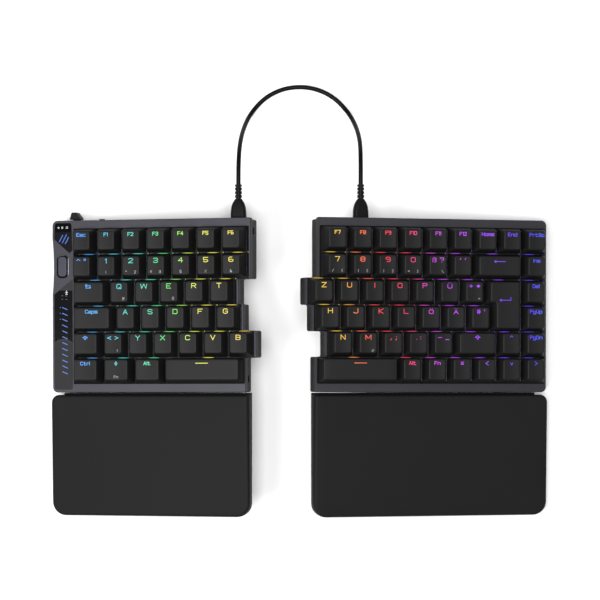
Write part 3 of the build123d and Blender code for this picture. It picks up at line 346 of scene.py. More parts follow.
# clear PBT, moulded through the keytop: the lamp under it lights the sign evenly
materials["litLegend"] = glowMaterial("litLegend", 1.35)
# the lamps' light on the milky housings, bright behind each switch and faint between the keys
materials["backlight"] = glowMaterial("backlight", 0.8)
materials["sideBacklight"] = glowMaterial("sideBacklight", 0.9)


def lampMaterial(name, tint, strength):
    # small indicator lamps in the panel: one clear colour, clouded between tint's two shades
    material, tree = newMaterial(name)
    grain = addNode(tree, "TexNoise", inputs={"Scale": 3.0}, links={"Vector": millimetres(tree)}).outputs[0]
    cloud = addNode(tree, "MapRange", inputs={1: 0.2, 2: 0.9}, links={0: grain}).outputs[0]
    glow = addNode(tree, "Mix", {"data_type": "RGBA"}, {6: colour(tint[0]), 7: colour(tint[1])},
                   {0: cloud}).outputs[2]
    body = {"Base Color": colour("#101012"), "Roughness": 0.3, "Emission Strength": strength}
    shader = addNode(tree, "BsdfPrincipled", inputs=body, links={"Emission Color": glow})
    addNode(tree, "OutputMaterial", links={"Surface": shader.outputs[0]})
    return material


materials["whiteLamp"] = lampMaterial("whiteLamp", ("#f4f6fa", "#dfe6f0"), 0.9)
materials["dimLamp"] = lampMaterial("dimLamp", ("#5a5c60", "#4c4e52"), 0.5)
materials["blueLamp"] = lampMaterial("blueLamp", ("#2f6fd8", "#2456b8"), 1.0)
print("materials made:", len(materials))

nodeFinishes = {
    "bottom_case": "texturedAbsCase", "switch_plate": "coatedSteelPlate", "cable": "extrudedPvcJacket",
    "circuit_board": "maskedCircuitBoard", "damper": "foamSiliconeDamper",
    "switches": "milkySwitchHousing", "case_screws": "blackOxideScrew",
    "link_socket": "platedSteelShell", "rubber_feet": "mouldedRubberFoot",
    "tent_leg": "legAbsRubberTip", "palm_leg": "legAbsRubberTip", "palm_magnets": "platedSteelShell",
    "plug": "mouldedTpePlug", "battery": "pressedFoilCell", "status_window": "polishedAcrylicWindow",
    "touch_strip": "polishedAcrylicStrip", "function_button": "satinPaintedButton",
    "rear_lever": "texturedAbsCase", "mode_switch": "texturedAbsCase", "palm_pad": "matteSiliconePalm",
}
# finishes that lie in a half's own frame, made once for each side
sidedFinishes = {"palm_base": "PalmBaseAbs", "top_frame": "CoatedAluminium"}
for nodeName, cadObject in cadNodes.items():
    side, _, kind = nodeName.partition("_")
    finish = nodeFinishes.get(kind, "texturedPbtKeycap")
    if kind in sidedFinishes:
        finish = side + sidedFinishes[kind]
    cadObject.data.materials.clear()
    cadObject.data.materials.append(materials[finish])


smallestRadius = 0.05


def roundedOutline(corners, radii, inset=0.0, arcSteps=5, sideSteps=5):
    # A right-angled outline walked anticlockwise. A corner moves in by the inset along both of
    # its edges, and its arc is centre - r (n1 cos a + n2 sin a), where n1 and n2 are the inward
    # normals of the edges before and after it. A hollow corner takes a negative r.
    corners = np.asarray(corners, float)
    edges = np.roll(corners, -1, 0) - corners
    edges /= np.linalg.norm(edges, axis=1)[:, None]
    n2 = np.stack([-edges[:, 1], edges[:, 0]], 1)
    n1 = np.roll(n2, 1, 0)
    before = np.roll(edges, 1, 0)
    bend = np.sign(before[:, 0] * edges[:, 1] - before[:, 1] * edges[:, 0])
    r = bend * np.maximum(np.broadcast_to(radii, len(corners)) - inset * bend, smallestRadius)
    centre = corners + (inset + r)[:, None] * (n1 + n2)
    a = np.linspace(0, math.pi / 2, arcSteps)
    swing = n1[:, None] * np.cos(a)[None, :, None] + n2[:, None] * np.sin(a)[None, :, None]
    arcs = centre[:, None] - r[:, None, None] * swing
    share = (np.arange(1, sideSteps) / sideSteps)[None, :, None]
    nextStart = np.roll(arcs[:, :1], -1, 0)
    straights = arcs[:, -1:] * (1 - share) + nextStart * share
    return np.concatenate([arcs, straights], 1).reshape(-1, 2)


def lift(outline, height):
    # an outline at a height, a number or one for each point
    return np.column_stack([outline, np.broadcast_to(height, len(outline))])


def closedLoft(rings, startPole=None, endPole=None):
    # Rings of equal count joined by quads, closed by a fan at each pole
    rings = np.asarray(rings, float)
    count, around = rings.shape[:2]
    i, j = np.meshgrid(np.arange(count - 1), np.arange(around), indexing="ij")
    k = (j + 1) % around
    quads = np.stack([i * around + j, i * around + k, (i + 1) * around + k, (i + 1) * around + j], -1)
    points = rings.reshape(-1, 3)
    faces = quads.reshape(-1, 4).tolist()
    j = np.arange(around)
    k = (j + 1) % around
    if startPole is not None:
        faces += np.stack([k, j, np.full(around, len(points))], 1).tolist()
        points = np.vstack([points, startPole])
    if endPole is not None:
        last = (count - 1) * around
        faces += np.stack([last + j, last + k, np.full(around, len(points))], 1).tolist()
        points = np.vstack([points, endPole])
    return points, faces


def joined(parts):
    # several (points, faces) as one, with the faces renumbered
    points, faces, start = [], [], 0
    for partPoints, partFaces in parts:
        points.append(partPoints)
        faces += [[start + index for index in face] for face in partFaces]
        start += len(partPoints)
    return np.vstack(points), faces


def makePiece(name, parts, body, sharpAngle=35.0):
    # parts: a list of (points in metres, faces, material name); rides on a CAD body
    slots = list(dict.fromkeys(part[2] for part in parts))
    points, faces = joined([part[:2] for part in parts])
    mesh = bpy.data.meshes.new(name)
    mesh.from_pydata(points.tolist(), [], faces)
    for slot in slots:
        mesh.materials.append(materials[slot])
    indices = np.concatenate([np.full(len(part[1]), slots.index(part[2])) for part in parts])
    mesh.polygons.foreach_set("material_index", indices.astype(np.int32))
    mesh.polygons.foreach_set("use_smooth", np.ones(len(faces), bool))
    mesh.validate()
    mesh.update()
    mesh.set_sharp_from_angle(angle=math.radians(sharpAngle))
    piece = bpy.data.objects.new(name, mesh)
    bpy.context.scene.collection.objects.link(piece)
    if body:
        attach(piece, body)
    return piece


def mirrored(points, faces):
    # the other hand: x turned about, and the faces turned back outwards
    return points * np.array([-1, 1, 1]), [face[::-1] for face in faces]


cable = dict(diameter=3.3, around=20, resolution=10)
# the route's points from the CAD source, in metres
cableRoute = [
    (-0.04446, 0.12977, 0.04641), (-0.04454, 0.14667, 0.04669), (-0.04336, 0.16357, 0.03239),
    (-0.04036, 0.17657, 0.01236), (-0.03536, 0.18737, 0.00175), (-0.02496, 0.19857, 0.00175),
    (-0.00956, 0.20557, 0.00175), (0.00856, 0.20587, 0.00175), (0.02446, 0.19937, 0.00175),
    (0.03566, 0.18807, 0.00175), (0.04156, 0.17667, 0.01236), (0.04446, 0.16327, 0.03239),
    (0.04454, 0.14667, 0.04669), (0.04446, 0.12977, 0.04641),
]


def splinePath(route, resolution):
    # points along the NURBS spline of a route, read from a curve with no bevel
    data = bpy.data.curves.new("cableLine", "CURVE")
    data.dimensions = "3D"
    spline = data.splines.new("NURBS")
    spline.points.add(len(route) - 1)
    for point, place in zip(spline.points, route):
        point.co = (*place, 1)
    spline.order_u = 3
    spline.use_endpoint_u = True
    spline.resolution_u = resolution
    line = bpy.data.objects.new("cableLine", data)
    bpy.context.scene.collection.objects.link(line)
    bpy.context.view_layer.update()
    mesh = bpy.data.meshes.new_from_object(line)
    path = np.zeros(len(mesh.vertices) * 3)
    mesh.vertices.foreach_get("co", path)
    bpy.data.objects.remove(line)
    bpy.data.meshes.remove(mesh)
    return path.reshape(-1, 3)


def tube(path, radius, around):
    # A circle carried along a path: centre + r (a cos t + b sin t), where a is level and square to
    # the tangent, and b is square to both. Where the path runs straight up, a is the x axis.
    tangents = np.gradient(path, axis=0)
    tangents /= np.linalg.norm(tangents, axis=1)[:, None]
    up = np.array([0, 0, 1.0])
    a = np.cross(tangents, up)
    flat = np.linalg.norm(a, axis=1) < 1e-6
    a[flat] = (1, 0, 0)
    a /= np.linalg.norm(a, axis=1)[:, None]
    b = np.cross(a, tangents)
    t = np.linspace(0, 2 * math.pi, around, endpoint=False)
    swing = a[:, None] * np.cos(t)[None, :, None] + b[:, None] * np.sin(t)[None, :, None]
    return closedLoft((path[:, None] + radius * swing)[:, ::-1], path[0], path[-1])


cablePath = splinePath(cableRoute, cable["resolution"])
cableLength = np.linalg.norm(np.diff(cablePath, axis=0), axis=1).sum()
print("cable spline points", len(cablePath), "length %.4f" % cableLength)
tubePoints, tubeFaces = tube(cablePath, cable["diameter"] / 2000, cable["around"])
linkCable = makePiece("link_cable_jacket", [(tubePoints, tubeFaces, "extrudedPvcJacket")], None)
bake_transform(linkCable)
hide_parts("link_cable")


cap = dict(skirt=0.8, wall=1.3, roof=1.5, dish=0.45, baseRadius=1.2, topRadius=1.8, edgeRound=0.9,
           sideInset=3.18, barInset=2.25, stemWidth=6.6, stemDepth=5.8, stemReach=3.0, stemRound=0.5,
           stemSink=0.2, postSide=4.0, smallSpread=11.9, largeSpread=20.0, bulgeShare=0.12 / 9,
           sideShares=(0.03, 0.35, 0.7), roundShares=(0.0, 0.25, 0.5, 0.75, 1.0), topShares=(0.8, 0.5, 0.2),
           enterPole=(1.5, 4.0), wideKey=2, longKey=3)
capHeights = dict(bottom=8.6, lower=8.2, home=8.0, upper=8.0, number=9.4, function=9.6)
capFrontInsets = dict(bottom=2.9, lower=3.15, home=2.5, upper=2.7, number=3.0, function=2.95)
capRearInsets = dict(bottom=1.05, lower=1.2, home=1.25, upper=1.7, number=2.05, function=2.2)

# Each group: the row, then the left edge and the width of each key as shares of the pitch
keyGroups = {
    "left_function_row": [("function", start, 1) for start in range(7)],
    "left_number_row": [("number", start, 1) for start in range(7)],
    "left_tab_key": [("upper", 0, 1.5)],
    "left_upper_row": [("upper", 1.5 + step, 1) for step in range(5)],
    "left_caps_key": [("home", 0, 1.75)],
    "left_home_row": [("home", 1.75 + step, 1) for step in range(5)],
    "left_shift_key": [("lower", 0, 1.25)],
    "left_lower_row": [("lower", 1.25 + step, 1) for step in range(6)],
    "left_modifier_keys": [("bottom", 1.25 * step, 1.25) for step in range(3)],
    "left_space_bar": [("bottom", 3.75, 3.125)],
    "right_function_row": [("function", start, 1) for start in range(9)],
    "right_number_row": [("number", start, 1) for start in range(6)],
    "right_backspace_key": [("number", 6, 2)],
    "right_upper_row": [("upper", -0.5 + step, 1) for step in range(7)],
    "right_home_row": [("home", -0.25 + step, 1) for step in range(7)],
    "right_lower_row": [("lower", 0.25 + step, 1) for step in range(5)],
    "right_shift_key": [("lower", 5.25, 1.75)],
    "right_space_bar": [("bottom", -0.125, 3.125)],
    "right_modifier_keys": [("bottom", start, 1) for start in (3, 4, 5)],
    "right_arrow_keys": [("lower", 7, 1), ("bottom", 6, 1), ("bottom", 7, 1), ("bottom", 8, 1)],
    "right_navigation_keys": [("number", 8, 1), ("upper", 8, 1), ("home", 8, 1), ("lower", 8, 1)],
    "right_enter_key": [("upper", 6.5, 1.5)],
}


def keyCorners(row, start, width, group):
    # cell corners in the key frame, anticlockwise; the enter key steps between its two rows
    pitch = layout["pitch"]
    left, right = start * pitch, (start + width) * pitch
    front, rear = rowFront(row), rowFront(row) + pitch
    if group == "right_enter_key":
        step, low = enterKey["step"] * pitch, rowFront("home")
        return [(step, low), (right, low), (right, rear), (left, rear), (left, front), (step, front)]
    return [(left, front), (right, front), (right, rear), (left, rear)]


def insetCorners(corners, side, front, rear):
    # Each corner moved in by the inset of the edges that meet there. A plain key takes the first four
    # moves, and the stepped enter key all six.
    corners = np.asarray(corners, float)
    across = np.array([1, -1, -1, 1, 1, 1]) * side
    along = np.array([front, front, -rear, -rear, front, front])
    return corners + np.column_stack([across, along])[:len(corners)]


def capParts(row, start, width, group):
    # One cap as a closed shell from the middle of its ceiling, out under the skirt, up the side,
    # round the top edge and over the dished top; then its stem and guide posts.
    long = width >= cap["longKey"]
    side = cap["barInset"] if long else cap["sideInset"]
    front, rear = capFrontInsets[row], capRearInsets[row]
    if group == "right_enter_key":
        front = capFrontInsets["home"]
    corners = keyCorners(row, start, width, group)
    half = layout["gap"] / 2
    baseCorners = insetCorners(corners, half, half, half)
    topCorners = insetCorners(corners, side, front, rear)
    high = cap["skirt"] + capHeights[row]
    lowU, highU = topCorners[:, 0].min(), topCorners[:, 0].max()
    middleU, halfU = (lowU + highU) / 2, (highU - lowU) / 2
    centre = np.array([middleU, (topCorners[:, 1].min() + topCorners[:, 1].max()) / 2])
    if group == "right_enter_key":
        # the fan of the stepped top starts from a point that sees all its corners
        aside, up = cap["enterPole"]
        centre = np.array([middleU + aside, rowFront("upper") + front + up])

    def topHeight(points):
        # the dish: d (1 - x^2) deep, x from -1 to 1 across the key
        share = np.clip(((points[:, 0] - middleU) / halfU) ** 2, 0, 1)
        return high - (0 if long else cap["dish"]) * (1 - share)

    base = roundedOutline(baseCorners, cap["baseRadius"])
    top = roundedOutline(topCorners, cap["topRadius"])
    edge = cap["edgeRound"]
    inner = roundedOutline(topCorners, cap["topRadius"], edge)
    baseRing, topRing = lift(base, cap["skirt"]), lift(top, topHeight(top))
    innerRing = lift(inner, topHeight(inner))
    innerBase = lift(roundedOutline(baseCorners, cap["baseRadius"], cap["wall"]), cap["skirt"])
    innerTop = lift(roundedOutline(topCorners, cap["topRadius"], cap["wall"]), high - cap["roof"])
    rings = [innerTop, innerBase, baseRing]
    slant = np.linalg.norm(topRing - baseRing, axis=1).mean()
    roundStart = 1 - edge / slant
    for share in cap["sideShares"]:
        bulge = cap["bulgeShare"] * math.sin(math.pi * share)
        ring = baseRing * (1 - share) + topRing * share
        rings.append(ring + np.column_stack([(ring[:, :2] - centre) * bulge, np.zeros(len(ring))]))
    shoulder = baseRing * (1 - roundStart) + topRing * roundStart
    for t in cap["roundShares"]:
        rings.append(shoulder * (1 - t) ** 2 + topRing * 2 * t * (1 - t) + innerRing * t ** 2)
    for share in cap["topShares"]:
        flat = centre + (inner - centre) * share
        rings.append(lift(flat, topHeight(flat)))
    poleTop = np.array([[*centre, topHeight(centre[None])[0]]])
    poleCeiling = np.array([[*centre, high - cap["roof"]]])
    parts = [closedLoft(rings, poleCeiling, poleTop)]
    cell = np.array([start + width / 2, 0]) * layout["pitch"] + [0, rowFront(row) + layout["pitch"] / 2]
    if group == "right_enter_key":
        cell = np.array([enterKey["stem"] * layout["pitch"], rowFront("upper")])
    columns = [(0, cap["stemWidth"], cap["stemDepth"])]
    if width >= cap["wideKey"]:
        spread = cap["largeSpread"] if long else cap["smallSpread"]
        columns += [(offset, cap["postSide"], cap["postSide"]) for offset in (-spread, spread)]
    for offset, wide, deep in columns:
        u, v = cell[0] + offset, cell[1]
        box = [(u - wide / 2, v - deep / 2), (u + wide / 2, v - deep / 2),
               (u + wide / 2, v + deep / 2), (u - wide / 2, v + deep / 2)]
        outline = roundedOutline(box, cap["stemRound"], arcSteps=3, sideSteps=1)
        ends = (-cap["stemReach"], high - cap["roof"] + cap["stemSink"])
        parts.append(closedLoft([lift(outline, end) for end in ends], [[u, v, ends[0]]], [[u, v, ends[1]]]))
    return parts, topHeight, topCorners


# Strokes on a grid, 4 wide for most signs and 6 high for capitals: two characters to a point, and a and
# b stand for 1 and 2 below the line

glyphs = {
    "A": "002640 1232", "B": "00063645443303 3342413000", "C": "4536160501103041",
    "D": "00063645413000", "E": "46060040 0333", "F": "460600 0333", "G": "45361605011030414323",
    "H": "0006 4046 0343", "I": "2026", "J": "4641301001", "K": "0006 460340", "L": "060040",
    "M": "000622325650", "N": "00064046",
    "O": "103041453616050110", "P": "00063645443303", "Q": "103041453616050110 2240",
    "R": "00063645443303 2340", "S": "453616050413334241301001", "T": "0646 2620", "U": "060110304146",
    "V": "062046", "W": "0610365066", "X": "0046 0640", "Y": "062346 2320", "Z": "06460040",
    "Ä": "002540 1232 1717 3737", "Ö": "103041443515040110 1717 3737", "Ü": "050110304145 1717 3737",
    "ß": "0005163645443323 3342413020", "0": "103041453616050110", "1": "152620", "2": "05163645440040",
    "3": "051636454433 1333 334241301001", "4": "30360242", "5": "460603334241301001",
    "6": "36160501103041423303", "7": "064620", "8": "133344453616050413 1302011030414233",
    "9": "10304145361605041343", "a": "04444000024242", "c": "44040040", "d": "4640000444",
    "e": "400004444202", "g": "44040040 444b0b", "l": "2026", "m": "00044440 2420",
    "n": "00044440", "o": "0004444000", "p": "0b04444000", "r": "000434", "s": "440402424000",
    "t": "161040 0434", "^": "042644", "°": "1636341416", "!": "2622 2020", '"': "1614 3634",
    "§": "4626242222 2404 420202", "$": "460603434000 2726 202a", "%": "0046 0606 4040",
    "&": "400516250110304200", "/": "0046", "(": "36242230", ")": "16242210", "=": "0242 0444",
    "?": "0506464323 2020", "+": "0343 2125", "-": "0343", "_": "0040", "*": "0343 2125 1234 1432",
    "~": "02143243", "#": "1016 3036 0242 0444", "'": "2624", ",": "211a", ".": "2020", ";": "2424 211a",
    ":": "2121 2424", "<": "450341", ">": "054301", "@": "300006464222242444", "|": "2026",
    "{": "36262413222030", "}": "16262433222010", "[": "36161030", "]": "16363010", "\\": "0640",
    "´": "2436", "`": "2614", "€": "4536160501103041 0333", "µ": "0b04 004044", "²": "05163645440040",
    "³": "051636454433 1333 334241301001", "tab": "8404 260422 0602 8000 628062 8280",
    "shift": "3033034683535030", "back": "8303 140312", "enter": "868303 140312",
    "up": "042644", "down": "442004", "left": "460340", "right": "064300", "menu": "0545 0343 0141",
    "ring": "2003264320 2323", "dash": "0393",
}
legendText = {
    "left_function_row": ["Esc", "F1", "F2", "F3", "F4", "F5", "F6"],
    "left_number_row": ["^ °", "1", "2", "3", "4", "5", "6"],
    "left_tab_key": ["icon tab"], "left_upper_row": list("QWERT"), "left_caps_key": ["Caps"],
    "left_home_row": list("ASDFG"), "left_shift_key": ["icon shift"],
    "left_lower_row": ["< >"] + list("YXCVB"),
    "left_modifier_keys": ["Ctrl", "icon ring", "Alt"], "left_space_bar": ["icon dash"],
    "right_function_row": ["F7", "F8", "F9", "F10", "F11", "F12", "Home", "End", "PrtSc"],
    "right_number_row": list("7890") + ["ß ?", "´ `"], "right_backspace_key": ["icon back"],
    "right_upper_row": list("ZUIOPÜ") + ["+ *"],
    "right_home_row": list("HJKLÖÄ") + ["# '"], "right_lower_row": list("NM") + [", ;", ". :", "- _"],
    "right_shift_key": ["icon shift"],
    "right_space_bar": ["icon dash"], "right_modifier_keys": ["Alt", "Fn", "icon menu"],
    "right_arrow_keys": ["icon up", "icon left", "icon down", "icon right"],
    "right_navigation_keys": ["Ins", "Del", "PgUp", "PgDn"], "right_enter_key": ["icon enter"],
}
# small printed signs low on the keytop: left, middle and right of it
smallText = {
    "left_number_row": ["", " ! ", "\" ²", "§ ³", " $ ", " % ", " & "],
    "left_upper_row": ["  @", "", "  €", "", ""], "left_lower_row": ["  |", "", "", "", "", ""],
    "left_modifier_keys": ["", "Fn", ""], "right_number_row": ["/ {", "( [", ") ]", "= }", "  \\", ""],
    "right_upper_row": ["", "", "", "", "", "", "  ~"], "right_lower_row": ["", "  µ", "", "", ""],
}
# a pair gives the mm across and up for one step of the grid; gap and space are in steps
legend = dict(letter=(0.8, 0.53), pair=(0.62, 0.5), fKey=(0.42, 0.39), word=(0.45, 0.38),
              icon=(0.45, 0.42), small=(0.31, 0.29), stroke=0.46, smallStroke=0.26, height=6, top=1.75,
              foot=1.5, smallSpread=3.4, gap=1.5, space=3.6, enterDrop=9.5, proud=0.03, depth=0.12)
longIcons = dict(back=(1.05, 0.7), enter=(1.05, 0.7), dash=(1.0, 0.4))
lowOnes = {"a": -1, "b": -2}


def strokesOf(sign):
    # segments (x0, y0, x1, y1) of one sign
    rows = []
    for line in glyphs[sign].split():
        values = [lowOnes.get(c, int(c) if c.isdigit() else 0) for c in line]
        points = list(zip(values[::2], values[1::2]))
        pairs = zip(points, points[1:]) if len(points) > 1 else [(points[0], points[0])]
        rows += [(*p, *q) for p, q in pairs]
    return np.array(rows, float)


def signsIn(text):
    return [text[5:]] if text.startswith("icon ") else list(text)


def wordStrokes(text, step):
    # a word's segments in mm about its middle, feet at zero
    x, rows = 0.0, []
    for sign in signsIn(text):
        if sign == " ":
            x += legend["space"]
            continue
        segments = strokesOf(sign)
        low, high = segments[:, ::2].min(), segments[:, ::2].max()
        segments[:, ::2] += x - low
        x += high - low + legend["gap"]
        rows.append(segments)
    rows = np.vstack(rows)
    rows[:, ::2] -= (x - legend["gap"]) / 2
    return rows * np.tile(step, 2)


def legendStep(text):
    if text.startswith("icon "):
        return longIcons.get(text[5:], legend["icon"])
    if text[0] == "F" and text[1:].isdigit():
        return legend["fKey"]
    if " " in text:
        return legend["pair"]
    return legend["word"] if len(text) > 1 else legend["letter"]


def strokeBoxes(segments, middle, stroke, surface, proud):
    # Each segment as a slim closed box: p0 - d h, p1 + d h, set out by n h to both sides,
    # its top just over the surface and its bottom inside it
    start, end = segments[:, :2] + middle, segments[:, 2:] + middle
    run = end - start
    length = np.linalg.norm(run, axis=1)
    d = np.where(length[:, None] > 0, run / np.maximum(length, 1e-9)[:, None], [1.0, 0.0]) * stroke / 2
    n = np.stack([-d[:, 1], d[:, 0]], 1)
    flat = np.stack([start - d - n, end + d - n, end + d + n, start - d + n], 1)
    count = len(flat)
    high = surface(flat.reshape(-1, 2)).reshape(count, 4, 1)
    points = np.concatenate([np.concatenate([flat, high - legend["depth"]], 2),
                             np.concatenate([flat, high + proud], 2)], 1).reshape(-1, 3)
    block = np.array([[3, 2, 1, 0], [4, 5, 6, 7], [0, 1, 5, 4], [1, 2, 6, 5], [2, 3, 7, 6], [3, 0, 4, 7]])
    faces = (block[None] + 8 * np.arange(count)[:, None, None]).reshape(-1, 4).tolist()
    return points, faces


for group, keys in keyGroups.items():
    side = group.partition("_")[0]
    place = keyPlace(side)
    capPieces, legendPieces = [], []
    for index, (row, start, width) in enumerate(keys):
        parts, surface, corners = capParts(row, start, width, group)
        capPieces += [(toDesk(place, points), faces, "texturedPbtKeycap") for points, faces in parts]
        middleU = (corners[:, 0].min() + corners[:, 0].max()) / 2
        frontV, rearV = corners[:, 1].min(), corners[:, 1].max()
        text = legendText[group][index]
        step = legendStep(text)
        foot = rearV - legend["top"] - legend["height"] * step[1]
        if group == "right_enter_key":
            foot -= legend["enterDrop"]
        points, faces = strokeBoxes(wordStrokes(text, step), np.array([middleU, foot]), legend["stroke"],
                                    surface, legend["proud"])
        legendPieces.append((toDesk(place, points), faces, "litLegend"))
        small = smallText.get(group, [""] * len(keys))[index]
        signs = [(1, small)] if len(small) == 2 else list(enumerate(small))
        for spot, sign in signs:
            if sign == " ":
                continue
            spotPlace = np.array([middleU + (spot - 1) * legend["smallSpread"], frontV + legend["foot"]])
            points, faces = strokeBoxes(wordStrokes(sign, legend["small"]), spotPlace,
                                        legend["smallStroke"], surface, legend["proud"])
            legendPieces.append((toDesk(place, points), faces, "paddedGreyInk"))
    caps = makePiece(group + "_caps", capPieces, group + "_body")
    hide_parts(group)
    marks = makePiece(group + "_legends", legendPieces, group + "_body")
print("keycaps and legends made for", len(keyGroups), "groups")


# Light that comes up between the keys: a lens-shaped strip behind each switch, nearer the middle of
# the keyboard than the switch, a straight strip between neighbours, and a small four-pointed spark
# where four keys meet
backlight = dict(depth=-2.2, thickness=0.3, lensHalf=0.3, lensLength=9.2, lensShift=1.7, lensEnd=0.97,
                 lensPoints=15, sparkReach=0.6, sparkHalf=0.12, sparkRise=0.1, sideDepth=-3.2,
                 sideProud=0.05, sideHalf=0.25, sideInset=3.0)


def lightPlate(outline, u, v, w):
    # a thin plate with its top at w, closed by a fan from its middle
    low = w - backlight["thickness"]
    return closedLoft([lift(outline, low), lift(outline, w)], [[u, v, low]], [[u, v, w]])


def lensStrip(middle, v, w):
    # half width h (1 - s^2) along the strip, s from -1 to 1
    s = np.linspace(-backlight["lensEnd"], backlight["lensEnd"], backlight["lensPoints"])
    u = middle + s * backlight["lensLength"] / 2
    half = backlight["lensHalf"] * (1 - s ** 2)
    outline = np.concatenate([np.column_stack([u, v - half]), np.column_stack([u[::-1], v + half[::-1]])])
    return lightPlate(outline, middle, v, w)


def spark(u, v, w):
    # a star with four points along the diagonals, narrow between them
    angle = np.arange(8) * math.pi / 4 + math.pi / 4
    reach = np.where(np.arange(8) % 2 == 0, backlight["sparkReach"], backlight["sparkHalf"])
    return lightPlate(np.column_stack([u + reach * np.cos(angle), v + reach * np.sin(angle)]), u, v, w)


for side in sides:
    place = keyPlace(side)
    shift = backlight["lensShift"] if side == "left" else -backlight["lensShift"]
    strips, sideStrips = [], []
    for group, keys in keyGroups.items():
        if not group.startswith(side):
            continue
        if group == "right_enter_key":
            keys = keys + [enterKey["foot"]]
        for row, start, width in keys:
            pitch = layout["pitch"]
            end, front = start + width, rowFront(row)
            if row != "function" and (row, start, width) != enterKey["foot"]:
                middle = (start + width / 2) * pitch + shift
                strips.append(lensStrip(middle, front + pitch, backlight["depth"]))
            # no spark under the enter key, which covers the crossing at its step
            underEnter = (side, row, end) == ("right", "home", enterKey["step"])
            if row not in ("function", "bottom") and not underEnter:
                sparkHeight = backlight["depth"] + backlight["sparkRise"]
                sideStrips.append(spark(end * pitch, front + pitch, sparkHeight))
            if end >= rowEnds[side][row]:
                continue
            ends = (front + backlight["sideInset"], front + pitch - backlight["sideInset"])
            sideStrips.append(strokeBoxes(np.array([[end * pitch, ends[0], end * pitch, ends[1]]]),
                                          np.zeros(2), 2 * backlight["sideHalf"],
                                          lambda p: np.full(len(p), backlight["sideDepth"]),
                                          backlight["sideProud"]))
    parts = [(toDesk(place, p), f, "backlight") for p, f in strips]
    parts += [(toDesk(place, p), f, "sideBacklight") for p, f in sideStrips]
    glow = makePiece(side + "_backlight", parts, side + "_half")
print("backlight made")


control = dict(buttonU=-8.5, buttonV=92.7, buttonLength=14.8, buttonWidth=6.7, buttonRadius=2.2,
               well=0.35, band=1.0, bevel=1.25, dashFirst=61.0, dashPitch=4.3, dashCount=12,
               dashU=(-8.6, -5.1), dashRise=1.5, dotFirst=62.6, dotU=-10.4, dotCount=3, markProud=0.05)
# Lit marks, as strokes (u, v, u, v) in mm: the pointer and faint lines of the touch strip, and the
# indicators and slanted bars of the window
pointer = [(-5.5, 73.0, -5.5, 74.8), (-6.2, 73.6, -5.5, 72.9), (-5.5, 72.9, -4.8, 73.6),
           (-6.1, 72.1, -4.9, 72.1)]
faintLines = [(-9.3, 71.2, -8.3, 71.2), (-6.4, 71.0, -5.2, 71.0), (-9.2, 68.6, -8.4, 68.6),
              (-6.2, 68.4, -5.2, 68.4)]
indicators = [(-12.2, 121.3, -11.0, 121.3), (-11.4, 121.8, -11.4, 120.8), (-9.0, 121.9, -9.0, 120.8),
              (-8.3, 121.9, -8.3, 120.8), (-5.6, 121.8, -4.4, 121.8), (-5.6, 120.9, -4.4, 120.9)]
bars = [(-10.8, 111.2, -8.4, 115.6), (-8.6, 110.2, -5.4, 116.0), (-6.2, 109.6, -3.8, 114.0)]
markStrokes = dict(dash=0.62, pointer=0.45, faint=0.4, indicator=0.45, bar=0.7)


def buttonRing(out, height):
    # the button's rounded outline, moved outwards
    u, v = control["buttonWidth"] / 2, control["buttonLength"] / 2
    corners = np.array([(-u, -v), (u, -v), (u, v), (-u, v)]) + [control["buttonU"], control["buttonV"]]
    return lift(roundedOutline(corners, control["buttonRadius"], -out, arcSteps=8, sideSteps=3), height)


def markPart(segments, stroke, finish):
    # strokes on the flat top of the left half's panel
    points, faces = strokeBoxes(np.asarray(segments, float), np.zeros(2), markStrokes[stroke],
                                lambda p: np.zeros(len(p)), control["markProud"])
    return toDesk(keyPlace("left"), points), faces, finish


# rings of the piano-black surround and of its bevel: how far out from the button, and the height
well, band, bevel = control["well"], control["band"], control["bevel"]
surroundRings = [(well, -3.0), (well, 0.1), (band, 0.14), (band, -0.2), (well, -3.0)]
bevelRings = [(band, -0.1), (band, 0.13), (bevel, 0.03), (bevel, -0.1), (band, -0.1)]
parts = []
for rings, finish in ((surroundRings, "polishedAbsSurround"), (bevelRings, "diamondCutBevel")):
    points, faces = closedLoft([buttonRing(*ring) for ring in rings])
    parts.append((toDesk(keyPlace("left"), points), faces, finish))
makePiece("left_button_surround", parts, "left_half")

leftU, rightU = control["dashU"]
steps = np.arange(control["dashCount"]) * control["dashPitch"]
dashes = [(leftU, v + control["dashRise"], rightU, v) for v in control["dashFirst"] - steps]
dots = [(control["dotU"], v, control["dotU"], v) for v in control["dotFirst"] - steps[:control["dotCount"]]]
parts = [markPart(dashes + dots, "dash", "blueLamp"), markPart(pointer, "pointer", "whiteLamp"),
         markPart(faintLines, "faint", "dimLamp")]
touchMarks = makePiece("left_touch_marks", parts, "left_half")

parts = [markPart(indicators, "indicator", "whiteLamp"), markPart(bars, "bar", "blueLamp")]
statusMarks = makePiece("left_status_marks", parts, "left_half")
print("controls made")


palm = dict(baseTop=4.0, rearHeight=12.4, frontHeight=8.8, frontRadius=10.0, innerRear=1.6,
            outerRear=5.6, edgeRound=2.2, crown=0.35, footInset=0.15, footRise=0.35, roundSteps=7,
            topShares=(0.93, 0.8, 0.6, 0.4, 0.2))
# A palm rest spans the bottom row, as shares of the pitch, and the margin outside it. It stands out by
# the flare on the outside and by its reach on the inside.
bottomWidths = dict(left=6.875, right=9.125)
margins = dict(left=layout["panelWidth"], right=layout["rim"])
innerReach = dict(left=1.85, right=1.2)
palmWidths = {side: bottomWidths[side] * layout["pitch"] + margins[side] + layout["palmFlare"]
              + innerReach[side] for side in sides}


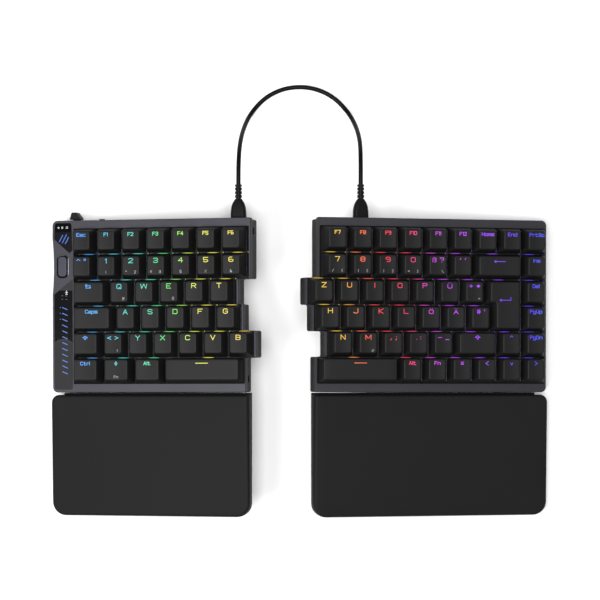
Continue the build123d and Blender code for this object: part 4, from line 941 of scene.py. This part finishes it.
def palmSurface(width):
    # Soft skin in the left base frame: an upright side that bellies a little, a wide round edge
    # and a sloping top, crowned by c (1 - x^2)(1 - y^2)
    depth = layout["palmDepth"]
    corners = [(0, -depth), (width, -depth), (width, 0), (0, 0)]
    radii = np.array([palm["frontRadius"], palm["frontRadius"], palm["innerRear"], palm["outerRear"]])

    def topHeight(flat):
        slope = palm["rearHeight"] + flat[:, 1] / depth * (palm["rearHeight"] - palm["frontHeight"])
        x = (flat[:, 0] - width / 2) / (width / 2)
        y = (flat[:, 1] + depth / 2) / (depth / 2)
        return slope + palm["crown"] * np.clip((1 - x ** 2) * (1 - y ** 2), 0, 1)

    def ring(inset):
        return roundedOutline(corners, radii, inset, arcSteps=9, sideSteps=16)

    rings = [lift(ring(palm["footInset"]), palm["baseTop"]),
             lift(ring(0.0), palm["baseTop"] + palm["footRise"])]
    r = palm["edgeRound"]
    for t in np.linspace(0, math.pi / 2, palm["roundSteps"]):
        outline = ring(r * (1 - math.cos(t)))
        rings.append(lift(outline, topHeight(outline) - r * (1 - math.sin(t))))
    centre = np.array([width / 2, -depth / 2])
    for share in palm["topShares"]:
        flat = centre + (outline - centre) * share
        rings.append(lift(flat, topHeight(flat)))
    top = [[*centre, (palm["rearHeight"] + palm["frontHeight"]) / 2 + palm["crown"]]]
    return closedLoft(rings, [[*centre, palm["baseTop"]]], top)


for side in sides:
    points, faces = palmSurface(palmWidths[side])
    if side == "right":
        points, faces = mirrored(points, faces)
    skin = makePiece(side + "_palm_skin", [(toDesk(palmPlace(side), points), faces, "matteSiliconePalm")],
                     side + "_palm_rest")
    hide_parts(side + "_palm_pad")
print("palm rests made")


def areaLight(name, place, size, power):
    # a square softbox that looks at the origin: metres and watts
    data = bpy.data.lights.new(name, "AREA")
    data.size = size
    data.energy = power
    lamp = bpy.data.objects.new(name, data)
    bpy.context.scene.collection.objects.link(lamp)
    lamp.location = place
    lamp.rotation_euler = (-Vector(place)).to_track_quat("-Z", "Y").to_euler()


floorReach = 4.0
floorMaterial, tree = newMaterial("paintedPaleFloor")
floorShader = addNode(tree, "BsdfPrincipled", inputs={"Base Color": colour("#fafafa"), "Roughness": 0.9})
addNode(tree, "OutputMaterial", links={"Surface": floorShader.outputs[0]})
floorMesh = bpy.data.meshes.new("floor")
floorCorners = floorReach * np.array([(-1, -1, 0), (1, -1, 0), (1, 1, 0), (-1, 1, 0)])
floorMesh.from_pydata(floorCorners.tolist(), [], [(0, 1, 2, 3)])
floorMesh.materials.append(floorMaterial)
floor = bpy.data.objects.new("floor", floorMesh)
bpy.context.scene.collection.objects.link(floor)

areaLight("softboxAbove", (0.0, 0.0, 2.6), 1.2, 58)
areaLight("softboxLeft", (-1.3, -0.55, 2.05), 0.9, 40)
areaLight("softboxRight", (1.7, 0.9, 1.9), 0.8, 5)
world = bpy.data.worlds.new("studio")
world.use_nodes = True
world.node_tree.nodes["Background"].inputs[0].default_value = colour("#ffffff")
world.node_tree.nodes["Background"].inputs[1].default_value = 0.25
bpy.context.scene.world = world
bpy.context.scene.view_settings.view_transform = "Standard"
print("stage set")

bpy.context.view_layer.update()
